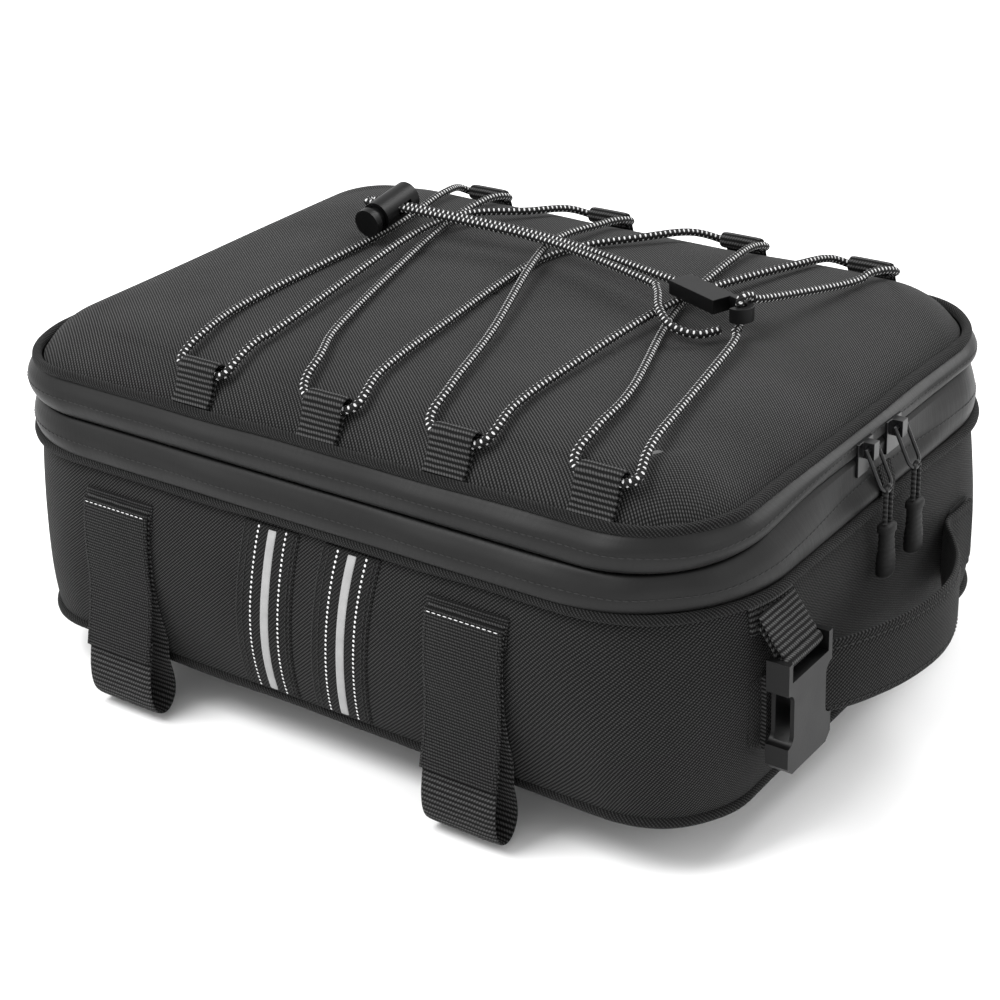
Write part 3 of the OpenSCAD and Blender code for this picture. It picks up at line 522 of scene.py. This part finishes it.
x, y = disc(201.5, 148, 43, [1, 0.985, 0.95, 0.85, 0.7, 0.5, 0.3, 0.12, 0.003])
zz = 0.25 + 0.9 * ease(1 - np.hypot(x / 201, y / 148), 0.0, 0.25)
uv = stack(x, y, zz)[..., :2]
under = surface("base_cover", stack(x, y, zz)[:, ::-1], np.hstack([uv, uv[:, :1]])[:, ::-1], denier, "case", around=True, thick=-1.2)
done(under, "woven_fabric", "base_panel")

# --- piping -----------------------------------------------------------------

PIPING_RADIUS = 2.5


def piping(name, a, b, r, height, finish, body, node):
    """Cord wrapped in bias-cut cloth round the outline, slightly uneven where it was sewn."""
    x, y = (q[0] for q in rim([a], [b], [r], (40, 50, 60)))
    k = np.arange(len(x))
    path = np.stack([x, y, height + 0.25 * np.sin(k / 9.0) + 0.15 * np.sin(k / 4.1)], 1)
    nx, ny = outward(x[None], y[None])
    path[:, 0] += nx[0] * 0.2 * np.sin(k / 7.0)
    path[:, 1] += ny[0] * 0.2 * np.sin(k / 7.0)
    side = np.stack([nx[0], ny[0], 0 * x], 1)
    w = np.linspace(0, 2 * np.pi, 16, endpoint=False)
    ring = np.stack([np.cos(w), np.sin(w)], 1) * PIPING_RADIUS
    cover = sweep(name, path, side, ring, finish, body, closed=True, around=np.linspace(0, 2 * np.pi * PIPING_RADIUS, 17))
    return done(cover, "piping", node)


piping("base_piping_cover", 203.2, 149.6, 45, 2.6, bias, "case", "base_piping")
piping("case_piping_cover", 210.2, 154.2, 69, 102.3, bias, "case", "case_piping")
piping("lid_piping_cover", 200.2, 146.2, 47.5, 141.2, bias, "lid", "lid_piping")

# --- zip bands --------------------------------------------------------------


def slit_height(x, y):
    """Height of the slit: level along the front, climbing round the front right corner to the sliders, and
    at the hinge line behind."""
    climb = 8.0 * ease(x, 60, 200) * ease(y, -150, -50) * (1 - ease(y, 95, 150))
    rear = 2.6 * ease(y, 60, 148)
    return 121.6 + climb + rear - climb * 0.3 * ease(y, 60, 148)


def lip(name, steps, radii, finish, body, node, wrinkle):
    """Rolled edge of coated cloth. steps are (share of the height, offset from the band's outline), and the
    rows bulge between piping and slit; behind, at the hinge, they lie flat."""
    steps = np.asarray(steps, float)
    fine = resample(steps, 0.06)
    share, offset = fine[:, 0], fine[:, 1]
    r = np.interp(share, [0, 1], radii)
    x, y = rim(204 + 0 * share, 150 + 0 * share, r, (22, 30, 34))
    nx, ny = outward(x, y)
    slit = slit_height(x, y)
    low, high = (103.6, slit - 0.4) if body == "case" else (slit + 0.5, 140.0)
    height = low + (high - low) * share[:, None]
    hinge = ease(ny, 0.55, 0.95)
    slider = np.exp(-((y - 8) / 52) ** 4) * ease(nx, 0.6, 1.0)
    bulge = np.broadcast_to(offset[:, None], x.shape)
    flat = np.minimum(bulge, 1.0 if body == "case" else -1.4)
    push = bulge * (1 - hinge) + flat * hinge
    push = push - slider * np.clip(push - (1.4 - 0.0 * push), 0, None) * ease(height, 108, 118)
    u = lengths(np.stack([x[0], y[0]], 1))[None, :]
    mid = np.sin(np.pi * np.clip(share, 0, 1))[:, None]
    corner = np.exp(-((np.hypot(x - 165, y + 128)) / 34) ** 2)
    ripple = 0.35 * np.sin(u / 23 + 1.3 * share[:, None]) + 0.22 * np.sin(u / 9.5 + 3 * share[:, None])
    push = push + mid * (ripple * wrinkle + corner * (1.2 * np.sin(u / 7.5) * wrinkle)) * (1 - hinge)
    pts = stack(x + nx * push, y + ny * push, height)
    v = lengths(np.stack([fine[:, 0] * 18, fine[:, 1]], 1))
    ring = np.concatenate([u[0], [u[0, -1] + 9]])
    uv = np.stack(np.broadcast_arrays(ring[None, :], v[:, None]), -1)
    made = surface(name, pts, uv, finish, body, around=True, thick=1.3, smooth=1)
    row = int(np.argmin(np.abs(share - (0.46 if body == "case" else 0.5))))
    line = pts[row]
    stitches(name + "_stitch", np.vstack([line, line[:1]]), np.vstack([np.stack([nx[row], ny[row], 0 * nx[row]], 1), [[nx[row, 0], ny[row, 0], 0]]]),
             dark_thread, body, long=3.0, pitch=3.6, wide=0.7, high=0.4, lift=0.05)
    return done(made, "satin_band", node)


lip("lower_zip_lip", [(0, 4.6), (0.12, 6.0), (0.35, 6.2), (0.62, 4.6), (0.84, 2.3), (0.96, 0.6), (1.0, -0.8), (0.97, -2.0)], (67, 58),
    satin, "case", "zip_band_lower", 1.0)
lip("upper_zip_lip", [(0.03, -2.2), (0.0, -0.9), (0.03, 0.7), (0.16, 2.3), (0.38, 2.9), (0.62, 1.6), (0.84, -1.2), (1.0, -3.6)], (58, 48),
    satin, "lid", "zip_band_upper", 0.8)


def zip_coil(name, lift, body, node):
    """Row of zip teeth behind its lip: a thin band whose section swells at every tooth."""
    x, y = rim([202.0], [148.0], [56.0], (150, 130, 200))
    keep = y[0] < 104
    start_at = int(np.argmax(keep))
    x, y = (np.roll(q[0], -start_at)[:keep.sum()] for q in (x, y))
    nx, ny = outward(x[None], y[None])
    nx[0, [0, -1]], ny[0, [0, -1]] = nx[0, [1, -2]], ny[0, [1, -2]]
    path = np.stack([x, y, slit_height(x, y) + lift], 1)
    run = lengths(path)
    tooth = 1 + 0.28 * np.sin(run * 2 * np.pi / 3.6)
    w = np.linspace(0, 2 * np.pi, 8, endpoint=False)
    ring = np.stack([np.cos(w) * 1.0, np.sin(w) * 1.1], 1)[None] * tooth[:, None, None]
    return done(sweep(name, path, np.stack([nx[0], ny[0], 0 * x], 1), ring, coil_nylon, body), "zip_coil", node)


zip_coil("lower_zip_teeth", -1.9, "case", "zip_coil_lower")
zip_coil("upper_zip_teeth", 2.1, "lid", "zip_coil_upper")

w = np.linspace(0, 1, 14)
hx = np.linspace(-140, 140, 41)
hp = stack(hx[None, :], 151.6 + 0.25 * np.sin(np.pi * w)[:, None] + 0 * hx, (116.8 + 16 * w)[:, None])
hinge = surface("hinge_strip", hp[:, ::-1], stack(hx[None, ::-1], (16 * w)[:, None], 0)[..., :2], denier, None, thick=0.8)
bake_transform(hinge)
done(hinge, "woven_fabric", "hinge_fabric")

# --- reflective tapes -------------------------------------------------------


def leaning(z, lean):
    """Sideways lean of a sewn line, from its foot to its top, in step with its height."""
    return lean[0] + (lean[1] - lean[0]) * (z - 6.0) / 92.5


def sewn_tape(name, centre, width, lift, thick, finish, slot, node, lean, low=6.0, high=98.5):
    """Flat tape sewn down the front wall, following its belly."""
    across, up = np.linspace(-width / 2, width / 2, 9), np.linspace(low, high, 40)
    xx, zz = np.meshgrid(centre + across, up)
    xx = xx + leaning(zz, lean)
    edge = 0.35 * (np.abs(across) / (width / 2)) ** 8
    yy = front_wall(xx, zz) - lift + edge[None, :]
    uv = np.stack(np.broadcast_arrays(up[:, None], across[None, :]), -1)
    return done(surface(name, stack(xx, yy, zz), uv, finish, "case", thick=thick, smooth=1), slot, node)


def up_wall(x, lift, lean):
    """Line up the front wall at one place along the bag."""
    zz = np.linspace(7.0, 97.5, 60)
    xx = x + leaning(zz, lean)
    return stack(xx, front_wall(xx, zz) - lift, zz)


for label, centre, lean in (("left", -27.0, (-2.4, 9.0)), ("right", 22.0, (-8.0, 7.0))):
    sewn_tape(f"dark_tape_{label}", centre, 34, 0.85, 0.7, tape_cloth, "dark_tape", f"reflective_tape_{label}", lean)
    sewn_tape(f"bright_stripe_{label}", centre + 1, 5, 1.35, 0.4, bright, "bright_stripe", f"reflective_stripe_{label}", lean, 7.5, 97)
    for k, off in enumerate((-7.2, 9.2)):
        stitches(f"bright_dots_{label}_{k}", up_wall(centre + off, 1.0, lean), (0, -1, 0), white_thread, "case",
                 long=1.5, pitch=2.6, wide=1.3, high=0.5)
    for k, off in enumerate((-15.6, -12.2, 13.6, 15.6)):
        stitches(f"tape_seam_{label}_{k}", up_wall(centre + off, 0.95, lean), (0, -1, 0), dark_thread, "case",
                 long=2.0, pitch=3.0, wide=0.7, high=0.5)

# --- rack straps ------------------------------------------------------------


def rack_strap(side, x):
    """Strap sewn under the case piping: a back layer down the wall and round a bottom bend, and a front
    flap over its end. Each is a flat band carried along a line in the plane across the bag."""
    zb = np.array([88.0, 78, 62, 46, 32, 18])
    back = np.stack([front_wall(x + 0 * zb, zb) - 1.3, zb], 1)
    bend = [[-156.4, 6], [-154.8, -4], [-155.0, -12], [-158.2, -18.4], [-163.0, -21.2], [-168.2, -19.2],
            [-171.4, -13.4], [-172.0, -5], [-170.6, 4], [-168.4, 13], [-166.6, 20]]
    line = resample(np.vstack([back, bend]), 1.5)
    path = np.stack([x + 0 * line[:, 0], line[:, 0], line[:, 1]], 1)
    sag = 0.4 * np.sin(np.linspace(0, 9, len(path)))[:, None] * np.array([[0, 0.5, 0]])
    loop = sweep(f"rack_strap_loop_{side}", path + sag, (1, 0, 0), strap_profile(41, 1.6), webbing)
    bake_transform(loop)
    done(loop, "webbing", f"strap_loop_{side}")
    zf = np.array([86.5, 76, 60, 44, 28, 14, 9.5])
    yf = np.minimum(front_wall(x + 0 * zf, zf) - np.array([3.4, 3.6, 3.9, 4.8, 6.4, 8.5, 9.6]), -160.0)
    yf[-3:] = [-166.6, -170.0, -171.2]
    flap = resample(np.stack([yf, zf], 1), 2.0)
    path = np.stack([x + 0 * flap[:, 0], flap[:, 0], flap[:, 1]], 1)
    front = sweep(f"rack_strap_flap_{side}", path, (1, 0, 0), strap_profile(42, 1.7), fine_webbing)
    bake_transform(front)
    done(front, "hook_tape", f"strap_flap_{side}")
    top = np.array([[x - 19.5, path[1, 1] - 0.9, 85.0], [x, path[1, 1] - 0.9, 85.0], [x + 19.5, path[1, 1] - 0.9, 85.0]])
    bright_seam = stitches(f"strap_top_stitch_{side}", top, (0, -1, 0), white_thread, None,
                           long=2.2, pitch=3.0, wide=0.55, high=0.35)
    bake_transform(bright_seam)
    seam_y = np.interp(-13.5, -path[:, 2], path[:, 1]) - 0.9
    low_seam = [[x - 19, seam_y, 13.5], [x, seam_y, 13.5], [x + 19, seam_y, 13.5]]
    stitches(f"strap_seam_{side}", low_seam, (0, -1, 0), dark_thread, f"strap_{side}", long=2.2, pitch=3.0)
    for k, off in enumerate((-19.3, 19.3)):
        edge = path.copy()
        edge[:, 0] += off
        edge[:, 1] -= 0.85
        seam = stitches(f"strap_edge_{side}_{k}", edge, (0, -1, 0), dark_thread, None, long=2.0, pitch=3.0, wide=0.6)
        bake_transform(seam)
    zz = np.linspace(77, 90.5, 10)
    hold = np.stack([x + 0 * zz, front_wall(x + 0 * zz, zz) - 0.75, zz], 1)
    anchor = sweep(f"rack_strap_anchor_{side}", hold, (1, 0, 0), strap_profile(43.5, 1.2), fine_webbing, "case")
    done(anchor, "webbing", f"strap_anchor_{side}")


rack_strap("left", -114.0)
rack_strap("right", 94.0)

# --- lid --------------------------------------------------------------------

EDGE_L, EDGE_W, EDGE_R, LID_EDGE, RISE, RUN = 197.4, 143.4, 46.5, 140.1, 23.0, 15.0
FRONT_LOOPS, BACK_LOOPS = (-72, 4, 75, 150), (-100, -20, 62, 136)
LOOP_Y, LOOP_UP = EDGE_W - 10.5, 6.0


def dome(x, y):
    """Height of the lid's fabric: it climbs from its edge by an exponential of the distance in."""
    qx, qy = np.abs(x) - (EDGE_L - EDGE_R), np.abs(y) - (EDGE_W - EDGE_R)
    inside = EDGE_R - np.hypot(np.maximum(qx, 0), np.maximum(qy, 0)) - np.minimum(np.maximum(qx, qy), 0)
    return LID_EDGE + RISE * (1 - np.exp(-np.maximum(inside, 0) / RUN))


shares = np.concatenate([1 - 0.30 * np.linspace(0, 1, 26) ** 1.25, np.linspace(0.68, 0.0, 24)])
shares[-1] = 0.003
x, y = rim([EDGE_L + 0.6], [EDGE_W + 0.6], [EDGE_R + 0.6], (26, 24, 36))
x, y = x * shares[:, None], y * shares[:, None]
h = dome(x, y)
for k in range(26):
    blur = (np.roll(h, 3, 1) + np.roll(h, -3, 1) + np.roll(h, 6, 1) + np.roll(h, -6, 1) + h) / 5
    h = np.where(shares[:, None] < 0.86, 0.5 * h + 0.5 * blur, h)
loops = [(q, -LOOP_Y) for q in FRONT_LOOPS] + [(q, LOOP_Y) for q in BACK_LOOPS]
pull = sum(np.exp(-((x - q) / 17) ** 2 - ((y - p * 0.86) / 20) ** 2) for q, p in loops)
h = h + 0.5 * np.sin(x / 33 + 0.6) * np.sin(y / 27) * ease(1 - shares, 0.02, 0.2)[:, None] - 0.5 * pull * ease(1 - shares, 0.02, 0.15)[:, None]
h[-1] = h[-2].mean()
flat_uv = stack(x, y, 0)[..., :2]
panel = surface("lid_top_fabric", stack(x, y, h), np.concatenate([flat_uv, flat_uv[:, :1]], 1), twill, "lid", around=True, thick=1.4, smooth=1)
done(panel, "lid_fabric", "lid_panel")

x, y = disc(199, 145, 47, [1, 0.98, 0.93, 0.86, 0.74, 0.6, 0.42, 0.24, 0.1, 0.003])
zz = 134.6 - 0.8 * ease(1 - np.hypot(x / 199, y / 145), 0, 0.3) + 0.3 * np.sin(x / 21) * np.sin(y / 19)
uv = stack(x, y, zz)[..., :2]
inner = surface("lid_lining_cloth", stack(x, y, zz)[:, ::-1], np.hstack([uv, uv[:, :1]])[:, ::-1], lining_cloth, "lid", around=True, thick=-0.8)
done(inner, "lining", "lid_lining")

for side, places, sign in (("front", FRONT_LOOPS, -1), ("back", BACK_LOOPS, 1)):
    rows = []
    for number, x0 in enumerate(places):
        zc = float(dome(x0, LOOP_Y)) + LOOP_UP
        tail = float(dome(x0, EDGE_W - 1.0))
        turn = np.radians(np.linspace(-70, 115, 14))
        eye = np.stack([LOOP_Y - 3.5 * np.cos(turn), zc + 3.5 * np.sin(turn)], 1)
        under = np.array([[EDGE_W + 0.8, tail + 0.7], [EDGE_W - 4, tail + 4.6], [LOOP_Y + 2.6, zc - 3.4]])
        over = np.array([[LOOP_Y + 4.6, zc + 0.9], [EDGE_W - 2.4, tail + 6.4], [EDGE_W + 1.6, tail + 1.9]])
        line = resample(np.vstack([under, eye, over]), 0.9)
        path = np.stack([x0 + 0 * line[:, 0], sign * line[:, 0], line[:, 1]], 1)
        made = sweep(f"{side}_loop_{number + 1}", path, (1, 0, 0), strap_profile(22, 1.3, 24), webbing, "lid")
        rows.append(done(made, "webbing"))
    for made in rows:
        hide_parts(f"{side}_loops")

# --- elastic lacing ---------------------------------------------------------


def over_lid(route):
    """Route of x, y and height over the lid, with a loop's own x as a fourth value, as points in space."""
    return np.array([[p[0], p[1], float(dome(p[3] if len(p) > 3 else p[0], p[1])) + p[2]] for p in route])


def straightened(route):
    """Route with each point next to a loop moved sideways onto the line from the loop to the next crossing."""
    out = [list(p) for p in route]
    for k in range(1, len(route) - 1):
        before, here, after = route[k - 1], route[k], route[k + 1]
        if 99 < abs(here[1]) < 112:
            share = (here[1] - before[1]) / (after[1] - before[1])
            out[k][0] = before[0] + (after[0] - before[0]) * share
            out[k][2] = 4.2
    return out


def laid(route):
    """Smooth cord over the lid: its height over the fabric changes evenly between the route's points."""
    p = over_lid(straightened(route))
    p[:, 2] -= dome(p[:, 0], p[:, 1])
    q = resample(p, 1.0)
    q[:, 2] += dome(q[:, 0], q[:, 1])
    return q


F, B, L = -LOOP_Y, LOOP_Y, LOOP_UP
lacing_route = [
    (-72, F, L, -72), (-86, F, L, -72), (-91, -110, 5), (-96, -70, 2.4), (-99, 40, 2.4), (-107, 104, 4), (-114, B, L, -100),
    (-86, B, L, -100), (-82, 104, 5), (-75, 52, 2.5), (-38, -70, 3), (-14, -108, 4), (-10, F, L, 4),
    (18, F, L, 4), (15, -108, 5), (8, -60, 3), (-3, 48, 2.5), (34, 100, 4), (48, B, L, 62),
    (76, B, L, 62), (80, 104, 5), (92, 20, 2.4), (124, -70, 3), (134, -108, 4), (136, F, L, 150),
    (164, F, L, 150), (160, -108, 5), (140, -14, 5), (134, 2, 6), (132.5, 8.4, 7), (132.5, 9.2, 19),
    (133.4, 16, 19.2), (136, 26, 15), (147, 88, 4), (149, 108, 5.5), (150, B, L, 136),
    (122, B, L, 136), (116, 100, 5), (92, 20, 6.7), (88, -80, 4), (88, -108, 5), (89, F, L, 75),
    (61, F, L, 75), (56, -106, 5), (34, -50, 4), (-3, 48, 7.5), (-7, 104, 5), (-6, B, L, -20),
    (-34, B, L, -20), (-42, 104, 5), (-75, 52, 7.5), (-60, -80, 4), (-58, -108, 5), (-58, F, L, -72), (-71.5, F, L, -72)]
tension_route = [
    (94, 24.6, 13), (82, 29.4, 13), (-2, 50.3, 12.5), (-74, 46.3, 16), (-108, 46.3, 16),
    (-112, 45.2, 16), (-112, 42.8, 16), (-108, 41.7, 16),
    (-74, 41.7, 16), (-2, 45.7, 12.5), (70, 24.5, 12.5), (84, 15, 12.5),
    (95, -1, 11), (107, -10, 8), (119, -8, 5.5), (126, 2, 5.5)]


def elastic_cord(name, route, node):
    path = laid(route)
    piece = tube(name, path, 2.0, cord_cover, "lid", sides=12)
    done(piece, "elastic_cord", node)
    float(lengths(path)[-1]) * MM


elastic_cord("lacing_elastic", lacing_route, "lacing_cord")
elastic_cord("tension_elastic", tension_route, "tension_cord")

rounded_part("cord_hook_body", "cord_hook", acetal, "lid", 0.9, "moulded_plastic")
rounded_part("cord_lock_shell", "cord_lock_barrel", acetal, "cord_lock", 0.6, "moulded_plastic")
rounded_part("cord_lock_push", "cord_lock_button", acetal, "lock_button", 0.5, "moulded_plastic")

# --- zip sliders and pulls --------------------------------------------------

for end, y0 in (("front", -8.0), ("rear", 20.0)):
    rounded_part(f"slider_body_{end}", f"zip_slider_{end}", enamel, f"slider_{end}", 0.6, "black_metal")
    lx, lz, drop = 218.175, 113.967, 16.0
    turn = np.radians(np.linspace(180, 0, 15))
    legs = 2.4
    path = np.concatenate([
        [[lx, y0 - legs, lz - drop - 3 + k] for k in np.linspace(0, drop + 2, 12)],
        np.stack([lx + 0 * turn, y0 + legs * np.cos(turn), lz + legs * np.sin(turn)], 1),
        [[lx, y0 + legs, lz - k] for k in np.linspace(1, drop + 3, 12)]])
    legline = resample(path, 1.0)
    pull = tube(f"pull_cord_{end}", legline, 1.15, coil_nylon, f"pull_{end}", sides=10, ref=(1, 0, 0))
    done(pull, "elastic_cord", f"zip_pull_cord_{end}")
    float(lengths(legline)[-1]) * MM
    rise = np.concatenate([[0, 0.2, 0.8], np.linspace(1.6, 22.5, 28), [23, 23.2, 25.6, 26.2, 26.6, 27.0]])
    half_w = np.interp(rise, [0, 0.2, 0.8, 2, 8, 16, 22.5, 23, 23.2, 25.6, 26.2, 27.0], [1.5, 3.2, 4.6, 5.6, 5.6, 4.6, 4.3, 4.3, 5.2, 5.2, 4.9, 3.2])
    half_d = np.interp(rise, [0, 0.2, 0.8, 2, 8, 16, 22.5, 23, 23.2, 25.6, 26.2, 27.0], [0.9, 2.0, 2.9, 3.5, 3.6, 3.1, 3.0, 3.0, 3.7, 3.7, 3.4, 2.4])
    rib = 0.22 * (np.sin(rise * 2 * np.pi / 2.6) > 0.2) * ((rise > 6) & (rise < 20))
    w = np.linspace(0, 2 * np.pi, 24, endpoint=False)
    blunt = lambda v: np.sign(v) * np.abs(v) ** 0.7
    profile = np.stack([blunt(np.cos(w))[None] * (half_w - rib)[:, None], blunt(np.sin(w))[None] * (half_d - rib)[:, None]], -1)
    gpath = np.stack([lx + 0 * rise, y0 + 0 * rise, lz - drop - 27 + rise], 1)
    grip = sweep(f"pull_grip_{end}", gpath, (0, 1, 0), profile, rubber, f"pull_{end}")
    done(grip, "grip_rubber", f"zip_grip_{end}")

zz = np.array([104.4, 108, 112, 116, 119.6])
xx = np.array([210.8, 211.6, 211.2, 210.0, 208.6])
tab = resample(np.stack([xx, 6 + 0 * xx, zz], 1), 1.0)
done(sweep("zip_end_tab", tab, (0, 1, 0), strap_profile(12, 1.3), denier, "case"), "woven_fabric", "zip_garage")

# --- side buckle ------------------------------------------------------------


def wall_band(name, y0, width, low, high, lift, thick, finish, slot, node, bow=0.0):
    """Cloth sewn flat on the right end wall, following its belly and its corner."""
    across = np.linspace(-width / 2, width / 2, 15)
    up = np.linspace(low, high, 20)
    yy, zz = np.meshgrid(y0 + across, up)
    if bow:
        tall = (up - (low + high) / 2) / ((high - low) / 2)
        trim = np.sqrt(np.clip(1 - np.clip((np.abs(tall) - (1 - bow)) / bow, 0, 0.985) ** 2, 0, 1))
        yy = y0 + across[None, :] * (1 - (1 - trim[:, None]) * 0.55)
    xx = end_wall(yy, zz) + lift
    uv = np.stack(np.broadcast_arrays(up[:, None], across[None, :]), -1)
    return done(surface(name, stack(xx, yy, zz), uv, finish, "case", thick=thick, smooth=1), slot, node)


wall_band("buckle_strap_end", -95, 30, 86, 99.5, 1.7, 1.5, webbing, "webbing", "buckle_anchor")
wall_band("handle_patch_cloth_front", -98, 29, 29.5, 66.5, 1.0, 1.2, denier, "woven_fabric", "handle_patch_front", 0.3)
wall_band("handle_patch_cloth_rear", 84, 29, 29.5, 66.5, 1.0, 1.2, denier, "woven_fabric", "handle_patch_rear", 0.3)

turn = np.radians(np.linspace(115, -150, 18))
bar = np.stack([222 + 2.7 * np.cos(turn), 77 + 2.7 * np.sin(turn)], 1)
line = np.vstack([[[210.4, 97.0], [213.4, 92.4], [218.4, 85.2], [221.6, 81.2]], bar, [[217.4, 82.0], [213.6, 87.6], [210.2, 92.0]]])
line = resample(line, 0.9)
band = sweep("buckle_strap", np.stack([line[:, 0], -95 + 0 * line[:, 0], line[:, 1]], 1), (0, 1, 0), strap_profile(30, 1.5), webbing)
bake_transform(band)
done(band, "webbing", "buckle_tab")
for k, (ya, za, yb, zb) in enumerate(((-108, 97.5, -82, 97.5), (-108, 90, -82, 90), (-108, 97.5, -82, 90), (-108, 90, -82, 97.5))):
    yy, zz = np.linspace(ya, yb, 12), np.linspace(za, zb, 12)
    stitches(f"buckle_box_stitch_{k}", stack(end_wall(yy, zz) + 1.8, yy, zz), (1, 0, 0), dark_thread, "case", long=2.0, pitch=2.8, wide=0.7)
rounded_part("buckle_housing_shell", "buckle_housing", acetal, "buckle", 0.7, "moulded_plastic")

# --- carry handle -----------------------------------------------------------

HANDLE_Z = 48.0
lift = 3.2
front = [[float(end_wall(np.array(v), HANDLE_Z)) + 2.0, v] for v in (-106.0, -98.0, -90.0)]
rear = [[float(end_wall(np.array(v), HANDLE_Z)) + lift, v] for v in (76.0, 84.0, 92.0)]
grip = [[212.4, -78], [217.5, -69.5], [228, -52], [237, -28], [241, -4], [240, 16], [234, 35], [225, 50], [217.5, 60], [214.0, 67]]
line = resample(np.array(front + grip + rear), 2.0)
path = np.stack([line[:, 0], line[:, 1], HANDLE_Z + 0 * line[:, 0]], 1)
first, last = int(np.argmin(np.abs(path[:, 1] + 69.5))), int(np.argmin(np.abs(path[:, 1] - 60)))
section = strap_profile(36, 3.6, 40, 0.45)
section[:, 1] *= 1 - 0.28 * np.exp(-((np.abs(section[:, 0]) - 14.6) / 1.3) ** 2)
up = (0, 0, 1)
for name, part in (("handle_root_cloth_front", path[:first + 1]), ("handle_band", path[first:last + 1]), ("handle_root_cloth_rear", path[last:])):
    piece = sweep(name, part, up, section, denier, "handle" if name == "handle_band" else None)
    if name == "handle_root_cloth_front":
        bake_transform(piece)
        done(piece, "woven_fabric", "handle_root_front")
    elif name == "handle_root_cloth_rear":
        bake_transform(piece)
        done(piece, "woven_fabric", "handle_root_rear")
    else:
        done(piece, "woven_fabric", "handle_strap")
        tangent = unit(np.gradient(part, axis=0))
        out = np.cross(tangent, np.array([0.0, 0, 1]))
        for k, dz in enumerate((-14.6, 14.6)):
            stitches(f"handle_stitch_{k}", part + out * 1.45 + np.array([0, 0, dz]), out, dark_thread, "handle", long=2.6, pitch=3.6, wide=0.8)

# --- carried-over nodes -----------------------------------------------------

FINISHES = {"base_board": board, "lid_foam": foam, "cord_lock_spring": steel, "zip_bail_front": enamel, "zip_bail_rear": enamel}
for node, finish in FINISHES.items():
    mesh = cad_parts[node].data
    mesh.materials.clear()
    mesh.materials.append(finish)

# --- floor and light --------------------------------------------------------

floor_mesh = bpy.data.meshes.new("floor")
floor_mesh.from_pydata([(-6, -6, -0.0255), (6, -6, -0.0255), (6, 6, -0.0255), (-6, 6, -0.0255)], [], [(0, 1, 2, 3)])
floor = bpy.data.objects.new("floor", floor_mesh)
bpy.context.scene.collection.objects.link(floor)
pale, t = start("pale_floor")
close(t, tint("#f6f6f6"), 0.9)
floor_mesh.materials.append(pale)


def soft_light(name, place, size, power):
    """Square soft box aimed at the bag."""
    data = bpy.data.lights.new(name, "AREA")
    data.shape, data.size, data.energy = "SQUARE", size, power
    lamp = bpy.data.objects.new(name, data)
    lamp.location = place
    lamp.rotation_euler = (Vector((0, 0, 0.08)) - Vector(place)).to_track_quat("-Z", "Y").to_euler()
    bpy.context.scene.collection.objects.link(lamp)


soft_light("key_light", (-0.5, -0.9, 1.6), 0.9, 30)
soft_light("rear_light", (0.5, 1.5, 1.5), 1.1, 30)
soft_light("right_light", (1.8, -0.1, 0.9), 0.8, 5)
world = bpy.data.worlds.new("studio")
world.use_nodes = True
world.node_tree.nodes["Background"].inputs[0].default_value = (1, 1, 1, 1)
world.node_tree.nodes["Background"].inputs[1].default_value = 1.0
bpy.context.scene.world = world
bpy.context.scene.view_settings.view_transform = "Standard"
